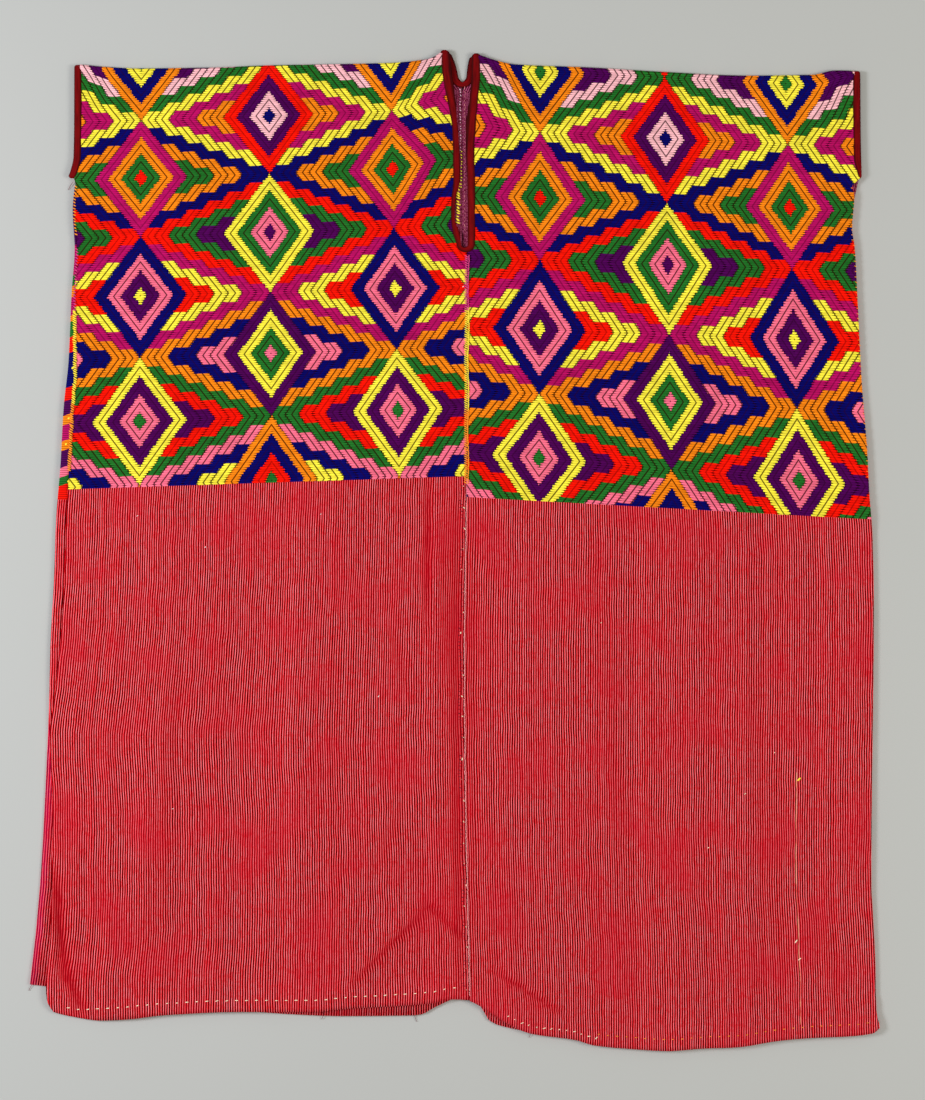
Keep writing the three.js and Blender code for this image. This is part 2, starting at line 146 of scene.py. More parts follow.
SLIT = {
    "front": table("y left right gap_left gap_right", [
        (410, -11.1, 20.6, -4.2, 14.4), (390, -9.6, 20.6, -1.9, 14), (368, -5.4, 19, 0.8, 12.2),
        (347, -1.8, 17.1, 2.5, 9.4), (328, -0.8, 16, 4, 9.8), (301, -0.7, 16.5, 4.3, 10.3),
        (287, -2.1, 16.6, 1, 10.5), (270, -2.4, 16.6, 0.4, 11.2), (259.6, -1, 16.6, 4.3, 11),
        (250, 1.9, 16.4, 5.5, 10.7),
    ]),
    "back": table("y left right gap_left gap_right", [
        (410, -10.9, 20.2, -4.4, 14.6), (397.4, -6, 17.6, 0.9, 10.9), (386.7, -2.6, 15.4, 3.4, 9.7),
    ]),
}
# Where each slit's straight sides end, and how far its ribbon reaches below that, outside and inside
SLIT_END = {
    "front": {"y": 250, "outer": 6.4, "inner": 2.8},
    "back": {"y": 386.7, "outer": 8, "inner": 3.8},
}
FRONT_SEAM = table("y x", [(241, 10.3), (60, 9.8), (-90, 8), (-180, 8.6), (-369, 12.4)])
BACK_SEAM_X = 6.2
GAP = 0.3  # between the layers
SEAM_GAP = 0.06  # between the two panels, where they are sewn
TUCK = 0.9  # how far the cloth reaches into a ribbon's fold
BINDING_WIDTH = 5.7
UNDERARM = {"cloth": 303.6, "closed": 297.8, "binding": 304.2}
print("panels:", LEFT["slit"], "and", RIGHT["slit"])

# %% [markdown]
# ## Where the cloth lies
#
# A point of a panel is named by how far it is across the loom's width and how far down the cloth. These
# functions turn that into a place on the table. At the left side the back layer is pulled round onto the
# front by a few millimetres, so the front layer's edge stops short there.

# %% Edges and rows
SIDE_TURN = table("y width", [
    (297, 0.6), (209, 2.2), (159, 4.6), (132, 6.8), (91, 7), (59, 7.1), (0, 8), (-60, 8), (-110, 4.5),
    (-150, 0),
])


def slit_edge(panel, layer, y):
    """The cloth's edge along a slit, down to the slit's round end."""
    rows, end = SLIT[layer], SLIT_END[layer]
    left, right = (through(rows, "y", name, end["y"]) for name in ("left", "right"))
    reach = (right - left) / 2 - TUCK
    drop = np.clip((end["y"] - y) / (end["outer"] - TUCK), 0, 1)
    turning = (left + right) / 2 + panel["side"] * reach * np.sqrt(1 - drop**2)
    straight = through(rows, "y", panel["slit"], y) - panel["side"] * TUCK
    return np.where(y > end["y"], straight, turning)


def inner_edge(panel, layer, y):
    seam = through(FRONT_SEAM, "y", "x", y) if layer == "front" else BACK_SEAM_X
    sewn = seam + panel["side"] * SEAM_GAP / 2
    bottom = SLIT_END[layer]["y"] - SLIT_END[layer]["outer"] + TUCK
    return np.where(y > bottom, slit_edge(panel, layer, y), sewn)


def binding_width(panel, y):
    """Width of an armhole's ribbon. The right one runs out to a sliver at the underarm."""
    sliver = 3.2 if panel is RIGHT else 0.0
    return BINDING_WIDTH - sliver * (1 - fade(y, UNDERARM["binding"], UNDERARM["binding"] + 16))


def outer_edge(panel, layer, y):
    width = binding_width(panel, y) - TUCK
    bound = through(panel["armhole"], "y", "x", np.maximum(y, UNDERARM["cloth"])) - panel["side"] * width
    sewn = through(panel["edge"], "y", layer, y)
    if layer == "front" and panel is LEFT:
        sewn = sewn + through(SIDE_TURN, "y", "width", y)
    above = np.clip((y - UNDERARM["closed"]) / (UNDERARM["cloth"] - UNDERARM["closed"]), 0, 1)
    return lerp(sewn, bound, above)


def across(panel, layer, y, u):
    """The place across the table of a point that is u across the loom's width."""
    return lerp(inner_edge(panel, layer, y), outer_edge(panel, layer, y), u)


def shoulder_height(panel, u):
    return through(panel["shoulder"], "x", "y", across(panel, "front", panel["shoulder"]["y"][0], u))


def row_ends(panel, layer, u):
    """Heights of the brocade's end and of the hem."""
    brocade = through(panel["brocade_end"], "x", "y", across(panel, layer, 50, u))
    hem = through(panel[layer], "x", "y", across(panel, layer, panel["hem_y"], u))
    return brocade, hem


# %% [markdown]
# ## How the layers lie on each other
#
# The back lies on the table. The front lies on the back, and stands off it in soft creases where the cloth
# was folded away for years. A cloth simulation could find such folds, but it would move the cut's outline,
# so each crease is listed: a ridge or a trough with its own length, width and height.

# %% Thickness, creases and the front layer's height
BROCADE_WALL, PLAIN_WALL, HEM_WALL, HEM_DEPTH = 1.8, 1.2, 2.2, 14
BROCADE_FADE, HEM_FADE = 5, 2
SHOULDER_ROUND, SHOULDER_REACH = 0.9, 14
CREASE_START = 45  # this far below the shoulder, the creases have their full height
OVERHANG_START, OVERHANG_REACH = 11, 14
LEAST_LIFT = 0.05

CREASES = table("x0 y0 x1 y1 width height", [
    (-8, 44, -7, -100, 13, 2.2), (-4, -96, -26, -215, 15, 2.2), (-22, -285, -92, -362, 9, 2.4),
    (10, -262, 2, -352, 11, 1.6), (38, -340, 84, -380, 10, 1.7), (-322, -230, -326, -340, 14, 2.4),
    (-206, -10, -262, -330, 24, 2.6), (-110, 20, -128, -250, 20, 2.0), (118, -20, 140, -300, 22, 2.0),
    (240, -80, 262, -340, 20, 2.3), (322, -40, 326, -300, 14, 2.0), (-212, 330, -206, 120, 26, 1.1),
    (196, 320, 206, 90, 26, 1.2), (96, 300, 88, 120, 22, 0.9), (-96, 290, -90, 130, 22, 0.9),
])
SMALL_CREASES = table("x0 y0 x1 y1 width height", [
    (-6, 30, 2, -160, 6, -0.9), (-20, -20, -24, -190, 5, 0.8), (-327, -250, -318, -362, 5, -2.2),
    (-320, -340, -302, -382, 5, -1.8), (-333, -262, -325, -368, 4, 1.2), (-290, -180, -296, -330, 9, 0.7),
    (-70, -318, -20, -350, 7, -0.8), (-48, -300, -78, -330, 6, 0.7),
    (24, -290, 46, -372, 7, -0.7), (30, -250, 36, -330, 8, 0.8), (56, -352, 110, -388, 6, 0.7),
    (-168, 20, -176, -140, 12, 0.6), (-60, 10, -66, -130, 11, -0.5), (64, 20, 70, -160, 12, 0.6),
    (176, 0, 184, -180, 13, -0.5), (292, 0, 296, -190, 12, 0.6), (-270, 10, -276, -150, 12, -0.5),
    (150, -240, 130, -390, 14, 0.5), (210, -230, 214, -380, 12, -0.4), (-200, -240, -186, -360, 11, 0.6),
    (-150, -210, -140, -350, 12, -0.4), (312, -210, 320, -370, 10, 0.7),
])
# Along these lines the ground's red is also painted darker, as painted shade in the crease
WORN_CREASES_WITH_PAINTED_SHADE = table("x0 y0 x1 y1 width share", [  # where a crease has rubbed the pale threads away
    (-21.5, 66, -23, -66, 3.2, 1.0), (-9, 30, -6, -110, 4, 0.35), (-20, -291, -90, -361, 3, 0.8),
    (-30, -284, 8, -318, 3, 0.7), (-327, -258, -318, -358, 4.5, 1.0),
    (-320, -342, -303, -379, 4.5, 1.0), (28, -342, 92, -382, 2.6, 0.9),
    (1.5, 66, 3.5, -380, 6, 0.75), (13, 58, 15, -380, 3, 0.35), (-226, -60, -246, -330, 8, 0.25),
    (118, -20, 140, -300, 8, 0.25), (240, -80, 262, -340, 8, 0.25), (-52, -60, -38, -120, 5, 0.4),
    (-40, -200, -64, -262, 5, 0.35), (300, -300, 318, -384, 6, 0.3),
])
FOLD_DRAW = 1.0  # how far a worn crease draws the warps aside


def ridges(rows, x, y):
    """The sum of all the soft lines of a table at a place: heights, or shares."""
    height = np.zeros(np.broadcast(x, y).shape)
    for x0, y0, x1, y1, width, peak in zip(*rows.values()):
        dx, dy = x1 - x0, y1 - y0
        along = ((x - x0) * dx + (y - y0) * dy) / (dx * dx + dy * dy)
        aside = np.hypot(x - x0 - dx * along, y - y0 - dy * along)
        ends = fade(along, -0.12, 0.28) * (1 - fade(along, 0.72, 1.12))
        height = height + peak * bell(aside, width) * ends
    return height


def lift(x, y):
    """How far the front layer stands off what lies under it."""
    swell = 0.35 + 0.25 * np.sin(x / 34 + 0.8) * np.sin(y / 71 - 0.4)
    ripple = 0.16 * np.sin(x / 11.5 + 0.9 * np.sin(y / 83)) * np.sin(y / 47 + x / 90)
    return np.maximum(swell + ripple + ridges(CREASES, x, y) + ridges(SMALL_CREASES, x, y), LEAST_LIFT)


def wall(panel, layer, x, y):
    """The cloth's thickness: plain, brocaded, or doubled at the hem."""
    end = through(panel["brocade_end"], "x", "y", x)
    hem = through(panel[layer], "x", "y", x)
    cloth = lerp(PLAIN_WALL, BROCADE_WALL, fade(y, end - BROCADE_FADE, end + BROCADE_FADE))
    return lerp(HEM_WALL, cloth, fade(y, hem + HEM_DEPTH - HEM_FADE, hem + HEM_DEPTH + HEM_FADE))


def front_underside(panel, x, y, depth):
    """Underside of the front layer; depth is the distance from the shoulder."""
    hem = through(panel["back"], "x", "y", x)
    under = np.maximum.reduce([wall(panel, "back", x, y + dy) for dy in (0, 8, -8)])
    over = fade(y, hem - OVERHANG_START - OVERHANG_REACH, hem - OVERHANG_START)
    rise = SHOULDER_ROUND * np.exp(-depth / SHOULDER_REACH)
    return GAP + under * over + rise + lift(x, y) * fade(depth, 0, CREASE_START)


# %% [markdown]
# ## The figure of the brocade
#
# The weaver works two lattices of diamonds, each diamond in four rings, and joins them with stepped bands.
# Every point of the cloth gets two numbers: which column of diamonds it is in, counted from the middle seam,
# and which row, counted from the shoulder. The columns and rows wander a little, as on the loom, so these
# numbers come from where the diamonds' centres were measured. Past the shoulder the rows run on down the
# back.

# %% Columns and rows of diamonds
COLUMN_PLACES = {  # heights at which the centres were measured, and their places across
    "left": (330, (-50.9, -151.5, -256.5), 110, (-46.2, -149.8, -257.6)),
    "right": (335, (70.1, 172.9, 272.7), 75, (69.3, 177.5, 281.5)),
}
ROW_PLACES = {  # places across at which the centres were measured, and their heights
    "left": (-50, (405.7, 358.9, 311.4, 263.2, 213.6, 164, 114.3, 60.2),
             -257, (398, 351.5, 303.9, 256.2, 207.8, 157, 105.3, 53)),
    "right": (70, (391.4, 341.4, 287.6, 236.8, 180, 127.4, 75, 22),
              278, (381, 332, 279.5, 229.8, 172, 115.6, 57, 0)),
}


def count_between(marks, place):
    """How many marks lie before a place, with the share of the next one. The marks rise."""
    steps = [np.clip((place - a) / (b - a), 0, 1) for a, b in zip(marks, marks[1:])]
    before = np.minimum(0, (place - marks[0]) / (marks[1] - marks[0]))
    after = np.maximum(0, (place - marks[-1]) / (marks[-1] - marks[-2]))
    return sum(steps) + before + after


def figure_column(panel, x, y):
    """Columns of diamonds from the middle seam, counted outwards."""
    y0, first, y1, second = COLUMN_PLACES[panel["slit"]]
    marks = [panel["side"] * lerp(a, b, (y - y0) / (y1 - y0)) for a, b in zip(first, second)]
    return count_between(marks, panel["side"] * x)


NECK_PULL = {  # the cloth is drawn up towards the neck: how far, over which places across and heights
    "left": (9.5, -56, -10, 235, 372),
    "right": (11, 66, 24, 318, 396),
}
ARM_PULL = {  # and towards the top of the armhole
    "left": (8, -278, -306, 346, 388),
    "right": (9, 292, 324, 344, 384),
}
EAR_START = 399.0  # above this height the shoulder is only stretched, and holds no more rows


def edge_pull(panel, x, y):
    """How far the rows are drawn up beside the neck and the armhole."""
    pulls = (NECK_PULL[panel["slit"]], ARM_PULL[panel["slit"]])
    return sum(most * fade(x, away, edge) * fade(y, low, high) for most, away, edge, low, high in pulls)


def figure_row(panel, x, y, pull=0.0):
    """Rows of diamonds from the shoulder, counted downwards."""
    x0, first, x1, second = ROW_PLACES[panel["slit"]]
    marks = [-lerp(a, b, (x - x0) / (x1 - x0)) for a, b in zip(first, second)]
    return count_between(marks, pull - y)


def row_down_the_back(panel, x, y, apex):
    """Past the shoulder the rows are counted on, so this number falls where the front's rises."""
    fold = 2 * figure_row(panel, x, np.minimum(apex, EAR_START))
    drawn = figure_row(panel, x, apex, edge_pull(panel, x, apex)) + figure_row(panel, x, apex) - fold
    return fold - figure_row(panel, x, y) + drawn * fade(y, *NECK_PULL[panel["slit"]][3:])


# %% The rule of one cell, in numbers that the mesh and the material share
COLUMN_PITCH = 103.3  # between two columns of diamonds
DIAMOND_HALF = 37.0  # half of a diamond's width
BAND_STEP = 11.05  # width of one step of a band, two strips
BAND_STEPS = 6  # steps of a band from one diamond to the next
STRIP = BAND_STEP / 2
ROW_WEFTS = 28  # brocading wefts in one row of diamonds
RINGS = 3.5  # rings of a diamond, and bands over half a row, from the edge to the middle
RAGGED = 0.75  # how far a weft's turn strays, to either side
RELIEF = 0.32  # how far a strip's middle stands over its edges


def strip_phase(c, r):
    """How many strips lie between a place and the last edge of its diamond or band."""
    column, row = np.floor(c), np.floor(r)
    fx, fy = c - column, r - row
    x = np.abs((column + row) % 2 - fx)
    here = x * COLUMN_PITCH / DIAMOND_HALF + fy
    there = (1 - x) * COLUMN_PITCH / DIAMOND_HALF + 1 - fy
    nearest = np.minimum(here, there)
    return np.where(nearest < 1, 2 * RINGS * (1 - nearest), DIAMOND_HALF * (here - 1) / STRIP)


def relief(c, r):
    return RELIEF * (np.sin(np.pi * strip_phase(c, r)) ** 2 - 0.5)


# %% [markdown]
# ## A panel as one folded wall
#
# A panel runs from the back hem up over the shoulder and down to the front hem. Its outer face is a fine
# grid, close enough to carry the strips of the brocade. Its inner face is four times coarser, because only a
# sliver of it shows in the neck slit. Rims close the wall, so it is one solid sheet, as cloth is.

# %% Grid of one panel
COLUMNS, COARSE = 188, 4
BACK_PLAIN, BACK_BROCADE, FOLD, FRONT_PLAIN = 40, 52, 12, 120
SEAM_DIP, SEAM_REACH = 0.25, 2.0  # how far a sewn edge sinks
EDGE_REACH = 3.5  # over which the cloth thins into a ribbon
EDGE_THIN = 1.0  # the cloth's thickness inside a ribbon
SLIT_BOUND = (7, 3)  # below a slit's straight sides, where its ribbon's hold on the cloth sets in
DIP_START, RELIEF_START, BOUND_START = 8, 6, 10  # these are full this far below the fold
RELIEF_FADE = 2  # over which the relief sets in at the brocade's end
RIBBON_MIDDLE = {"front": 3.6, "back": 1.1}
PANEL_WIDTH = 333.0  # on the loom


def rows_between(start, end, count):
    """Rows after the start, up to the end."""
    return lerp(start, end, np.arange(1, count + 1) / count)


def bound_share(panel, layer, x, y):
    """1 where the cloth enters a ribbon, 0 away from it."""
    inside = np.abs(x - inner_edge(panel, layer, y))
    outside = np.abs(x - outer_edge(panel, layer, y))
    start, full = (SLIT_END[layer]["y"] - below for below in SLIT_BOUND)
    slit = bell(inside, EDGE_REACH) * fade(y, start, full)
    return np.maximum(slit, bell(outside, EDGE_REACH) * fade(y, UNDERARM["closed"], UNDERARM["cloth"]))


def sewn_share(panel, layer, x, y):
    """1 at a sewn edge, 0 away from it."""
    inside = bell(x - inner_edge(panel, layer, y), SEAM_REACH)
    outside = bell(x - outer_edge(panel, layer, y), SEAM_REACH)
    return np.maximum(inside, outside) * (1 - bound_share(panel, layer, x, y))


def loom_place(panel, layer, x, y):
    """Distance across the loom: the warps run straight on where a hem's corner is rounded off."""
    square = np.maximum(y, panel["corner_y"])
    inside, outside = inner_edge(panel, layer, square), outer_edge(panel, layer, square)
    return PANEL_WIDTH * (x - inside) / (outside - inside)


def layer_rows(panel, layer, u, heights, apex, start):
    """Places and figure numbers of one layer's rows."""
    y = heights
    x = across(panel, layer, y, u)
    c, r = figure_column(panel, x, y), figure_row(panel, x, y, edge_pull(panel, x, y))
    thick = wall(panel, layer, x, y)
    if layer == "front":
        low = front_underside(panel, x, y, start - y)
        end = through(panel["brocade_end"], "x", "y", x)
        brocaded = fade(y, end, end + RELIEF_FADE)
        dip = SEAM_DIP * sewn_share(panel, layer, x, y) * fade(start - y, 0, DIP_START)
        high = low + thick - dip + relief(c, r) * brocaded * fade(start - y, 0, RELIEF_START)
    else:
        low, high = np.zeros_like(x), thick
        r = row_down_the_back(panel, x, y, apex)
    bound = bound_share(panel, layer, x, y) * fade(start - y, 0, BOUND_START)
    low = lerp(low, RIBBON_MIDDLE[layer] - EDGE_THIN / 2, bound)
    high = lerp(high, RIBBON_MIDDLE[layer] + EDGE_THIN / 2, bound)
    along = (apex - y) * (1 if layer == "front" else -1)
    # A worn crease rubs the pale threads away; the ground material also paints its red darker there, as shade
    worn = np.clip(ridges(WORN_CREASES_WITH_PAINTED_SHADE, x, y), 0, 1) * (layer == "front")
    loom = loom_place(panel, layer, x, y) + FOLD_DRAW * panel["side"] * worn
    return {
        "x": x, "y": y, "low": low, "high": high, "c": c, "r": r, "along": along, "loom": loom, "worn": worn,
    }


def fold_rows(panel, u, apex):
    """The half turn over the shoulder, from the back's underside to the front's face."""
    x = across(panel, "front", apex, u)
    under = front_underside(panel, x, apex, np.zeros_like(x))
    radius = (under + BROCADE_WALL) / 2
    turn = np.linspace(-np.pi / 2, np.pi / 2, FOLD + 1)[None, :]
    start = apex - radius
    share = np.linspace(0, 1, FOLD + 1)[None, :]
    ahead = figure_row(panel, x, start, edge_pull(panel, x, start))
    behind = row_down_the_back(panel, x, start, apex)
    ring = lambda distance: (start + distance * np.cos(turn), radius + distance * np.sin(turn))
    wide = np.broadcast_to(x, (COLUMNS + 1, FOLD + 1))
    return {
        "x": wide, "start": start, "outer": ring(radius), "inner": ring(radius - BROCADE_WALL),
        "c": figure_column(panel, wide, apex), "r": lerp(behind, ahead, share),
        "along": lerp(-radius, radius, share), "loom": np.broadcast_to(u * PANEL_WIDTH, wide.shape),
        "worn": np.zeros(wide.shape),
    }


def panel_grid(panel, front_brocade):
    """Outer and inner face of a panel, and what each point knows of its place in the cloth."""
    u = np.linspace(0, 1, COLUMNS + 1)[:, None]
    apex = shoulder_height(panel, u)
    fold = fold_rows(panel, u, apex)
    start = fold["start"]
    end, hem = row_ends(panel, "back", u)
    plain_rows, brocaded = rows_between(hem, end, BACK_PLAIN), rows_between(end, start, BACK_BROCADE)
    up = np.hstack([hem, plain_rows, brocaded[:, :-1]])
    back = layer_rows(panel, "back", u, up, apex, start)
    end, hem = row_ends(panel, "front", u)
    down = np.hstack([rows_between(start, end, front_brocade), rows_between(end, hem, FRONT_PLAIN)])
    front = layer_rows(panel, "front", u, down, apex, start)
    join = lambda name: np.hstack([back[name], fold[name], front[name]])
    outer = np.stack([
        join("x"), np.hstack([back["y"], fold["outer"][0], front["y"]]),
        np.hstack([back["low"], fold["outer"][1], front["high"]]),
    ], axis=-1)
    inner = np.stack([
        join("x"), np.hstack([back["y"], fold["inner"][0], front["y"]]),
        np.hstack([back["high"], fold["inner"][1], front["low"]]),
    ], axis=-1)
    return outer, inner, np.stack([join(name) for name in ("c", "r", "loom", "along", "worn")], axis=-1)


# %% From a grid to a closed mesh
def signed_volume(points, faces):
    """Six times the volume: it is negative where the faces point inwards."""
    fans = np.array([(f[0], f[i], f[i + 1]) for f in faces for i in range(1, len(f) - 1)])
    a, b, c = (points[fans[:, k]] for k in range(3))
    return np.einsum("ij,ij->i", a, np.cross(b, c)).sum()


def in_scene(name, data):
    """An object that holds a mesh, a curve, a light or a camera, at the origin."""
    thing = bpy.data.objects.new(name, data)
    bpy.context.scene.collection.objects.link(thing)
    return thing


def make_piece(name, points, faces, attributes, materials, indices=None, flat=()):
    """A mesh object at the origin, faces outward, with its own coordinates as attributes."""
    if signed_volume(points, faces) < 0:
        faces = [f[::-1] for f in faces]
    mesh = bpy.data.meshes.new(name)
    mesh.from_pydata((points * MM).tolist(), [], faces)
    for key, values in attributes.items():
        layer = mesh.attributes.new(key, "FLOAT_VECTOR", "POINT")
        layer.data.foreach_set("vector", np.ascontiguousarray(values, np.float32).ravel())
    for material in materials:
        mesh.materials.append(material)
    if indices is not None:
        mesh.polygons.foreach_set("material_index", np.array(indices, np.int32))
    smooth = np.ones(len(faces), bool)
    smooth[list(flat)] = False
    mesh.polygons.foreach_set("use_smooth", smooth)
    mesh.update()
    mesh.validate()
    return in_scene(name, mesh)


def quads(rows, columns, offset=0):
    """Faces of a grid whose points are stored row by row."""
    i, j = np.meshgrid(np.arange(rows - 1), np.arange(columns - 1), indexing="ij")
    corner = (offset + i * columns + j).ravel()
    return np.stack([corner, corner + columns, corner + columns + 1, corner + 1], axis=1)


def wall_mesh(name, panel, front_brocade, materials):
    """One panel; materials are the brocade, the plain ground and the brocade's reverse."""
    outer, inner, facts = panel_grid(panel, front_brocade)
    coarse = inner[::COARSE, ::COARSE]
    points = np.vstack([outer.reshape(-1, 3), coarse.reshape(-1, 3)])
    facts = np.vstack([facts.reshape(-1, 5), facts[::COARSE, ::COARSE].reshape(-1, 5)])
    (n, m), (cn, cm) = outer.shape[:2], coarse.shape[:2]
    first = n * m
    outside, inside = quads(n, m), quads(cn, cm, first)[:, ::-1]
    fine = lambda i, j: i * m + j
    thick = lambda i, j: first + i * cm + j
    steps = range(COARSE + 1)
    rims = []
    for j in range(cm - 1):
        near = [fine(0, j * COARSE + k) for k in steps] + [thick(0, j + 1), thick(0, j)]
        far = [fine(n - 1, j * COARSE + k) for k in steps] + [thick(cn - 1, j + 1), thick(cn - 1, j)]
        rims += [near, far[::-1]]
    for i in range(cn - 1):
        low = [fine(i * COARSE + k, 0) for k in steps] + [thick(i + 1, 0), thick(i, 0)]
        high = [fine(i * COARSE + k, m - 1) for k in steps] + [thick(i + 1, cm - 1), thick(i, cm - 1)]
        rims += [low[::-1], high]
    top, bottom = BACK_PLAIN, BACK_PLAIN + BACK_BROCADE + FOLD + front_brocade
    row = np.tile(np.arange(m - 1), n - 1)
    coarse_row = np.tile(np.arange(cm - 1), cn - 1) * COARSE
    outer_kind = np.where((row >= top) & (row < bottom), 0, 1)
    inner_kind = np.where((coarse_row >= top) & (coarse_row < bottom), 2, 1)
    kinds = [*outer_kind, *inner_kind, *([1] * len(rims))]
    faces = [*outside.tolist(), *inside.tolist(), *rims]
    attributes = {
        "figure": facts[:, [0, 1, 4]],
        "thread": np.stack([facts[:, 2], facts[:, 3], np.full(len(points), panel["side"])], axis=1),
    }
    flat = range(len(faces) - len(rims), len(faces))
    return make_piece(name, points, faces, attributes, materials, kinds, flat)


# %% [markdown]
# ## Materials: what a thread looks like
#
# Each material starts from its real fibre. A helper turns a hex colour into linear light, and one function
# adds a node, with its settings and what is linked to it. Two more write out sums that come back often.

# %% Colour and node helpers
def linear(hex_colour):
    """An sRGB hex colour as the linear RGBA that a socket holds."""
    share = np.array([int(hex_colour[i : i + 2], 16) for i in (1, 3, 5)]) / 255
    light = np.where(share <= 0.04045, share / 12.92, ((share + 0.055) / 1.055) ** 2.4)
    return (*light.tolist(), 1.0)


def add(tree, kind, *inputs, named={}, out=0, **settings):
    """Adds a node with its settings, and gives one of its outputs.
    The inputs are values or other nodes' outputs."""
    node = tree.nodes.new(kind)
    for name, value in settings.items():
        setattr(node, name, value)
    sockets = [socket for socket in node.inputs if socket.enabled]
    pairs = [*zip(sockets, inputs), *((node.inputs[name], value) for name, value in named.items())]
    for socket, value in pairs:
        if isinstance(value, bpy.types.NodeSocket):
            tree.links.new(value, socket)
        elif value is not None:
            socket.default_value = value
    shown = [socket for socket in node.outputs if socket.enabled]
    return shown[out] if shown else node


def new_material(name):
    material = bpy.data.materials.new(name)
    material.use_nodes = True
    material.node_tree.nodes.clear()
    return material, material.node_tree


MATH = "ShaderNodeMath"
MIX = "ShaderNodeMix"


def apart(tree, a, b):
    """Distance between two values."""
    return add(tree, MATH, add(tree, MATH, a, b, operation="SUBTRACT"), operation="ABSOLUTE")


def less_by(tree, value, share, most=1.0):
    """A value that loses up to this much of itself as the share goes to 1."""
    kept = add(tree, MATH, share, -most, 1.0, operation="MULTIPLY_ADD")
    return add(tree, MATH, value, kept, operation="MULTIPLY")

# %% [markdown]
# ## Brocade: cotton and acrylic floats
#
# The pattern weft is a thick, soft, matt yarn that floats over the ground. Its colours are strong and even,
# and what gives it life is its relief: strips a few millimetres wide with a dark line between them, painted
# shade with a little of the ground's colour, and in each strip the single wefts, whose rounded ends make
# every slanting edge a row of dots of painted shade and painted highlight. The material works out, from the
# two figure numbers, which diamond or band a point is in, and picks its colour from a chart of the eight rows
# of diamonds.

# %% Chart of the colours, row by row from the shoulder
YARN = {
    "red": "#FA1405", "orange": "#FB8614", "yellow": "#FEEC40", "green": "#226E26", "blue": "#090860",
    "purple": "#4C0550", "magenta": "#B8105E", "pink": "#FC708A", "pale_pink": "#FFBCC0",
}
BANDS = [  # from the tip of each band to its core
    ("green", "pale_pink", "purple"), ("yellow", "magenta", "orange"), ("blue", "orange", "green"),
    ("red", "green", "purple"), ("magenta", "yellow", "red"), ("orange", "blue", "pink"),
    ("green", "red", "purple"), ("pink", "blue", "yellow"),
]
DIAMONDS = [  # from the outer ring to the middle
    ("orange", "blue", "yellow", "green"), ("red", "purple", "pale_pink", "blue"),
    ("magenta", "orange", "green", "red"), ("yellow", "green", "pink", "purple"),
    ("blue", "pink", "purple", "yellow"), ("purple", "yellow", "green", "pink"),
    ("yellow", "purple", "pink", "green"), ("orange", "blue", "red", "green"),
]
CHART_ROWS, BAND_COLOURS, RING_COLOURS = len(DIAMONDS), len(BANDS[0]), len(DIAMONDS[0])


def yarn_ramp(tree, place, starts, names):
    """A ramp without blending: each yarn's colour from its own start on."""
    ramp = add(tree, "ShaderNodeValToRGB", place)
    stops = ramp.node.color_ramp
    stops.interpolation = "CONSTANT"
    stops.elements.remove(stops.elements[1])
    for i, (start, name) in enumerate(zip(starts, names)):
        stop = stops.elements[0] if i == 0 else stops.elements.new(start)
        stop.color = linear(YARN[name])
    return ramp


def chart(tree, rows, place):
    """The chart's colours side by side; the place counts them."""
    names = [name for row in rows for name in row]
    share = add(tree, MATH, place, len(names), operation="DIVIDE")
    return yarn_ramp(tree, share, [i / len(names) for i in range(len(names))], names)


# %% Where a weft lies in the figure
WIDE = COLUMN_PITCH / DIAMOND_HALF  # from one column to the next, in diamonds


def weft_place(t):
    """A weft's row, column and number, and its distance from the diamonds above and below, in diamonds."""
    figure = add(t, "ShaderNodeAttribute", attribute_name="figure", out=1)
    split = add(t, "ShaderNodeSeparateXYZ", figure)
    c, r = split, split.node.outputs[1]
    column = add(t, MATH, c, operation="FLOOR")
    row = add(t, MATH, r, operation="FLOOR")
    fx = add(t, MATH, c, operation="FRACT")
    down = add(t, MATH, r, operation="FRACT")
    weft = add(t, MATH, down, ROW_WEFTS, operation="MULTIPLY")
    weft_row = add(t, MATH, weft, operation="FLOOR")
    fy = add(t, MATH, weft_row, 1 / ROW_WEFTS, 0.5 / ROW_WEFTS, operation="MULTIPLY_ADD")
    parity = add(t, MATH, add(t, MATH, column, row), 2.0, operation="FLOORED_MODULO")
    # No two wefts turn back at quite the same warp
    number = add(t, MATH, row, float(ROW_WEFTS), weft_row, operation="MULTIPLY_ADD")
    ragged = add(t, "ShaderNodeTexWhiteNoise", add(t, "ShaderNodeCombineXYZ", number, column, 5.0))
    ragged = add(t, "ShaderNodeMapRange", ragged, 0.0, 1.0, -RAGGED / COLUMN_PITCH, RAGGED / COLUMN_PITCH)
    x = add(t, MATH, apart(t, parity, fx), ragged)
    here = add(t, MATH, x, WIDE, fy, operation="MULTIPLY_ADD")
    below = add(t, MATH, x, -WIDE, WIDE + 1, operation="MULTIPLY_ADD")
    there = add(t, MATH, below, fy, operation="SUBTRACT")
    # How far a point is past the middle of its weft, and past where the weft would turn unstrayed
    past = add(t, MATH, ragged, -WIDE, add(t, MATH, down, fy, operation="SUBTRACT"), operation="MULTIPLY_ADD")
    return {
        "row": row, "column": column, "weft": weft, "number": number, "fy": fy, "here": here, "there": there,
        "past": past,
    }


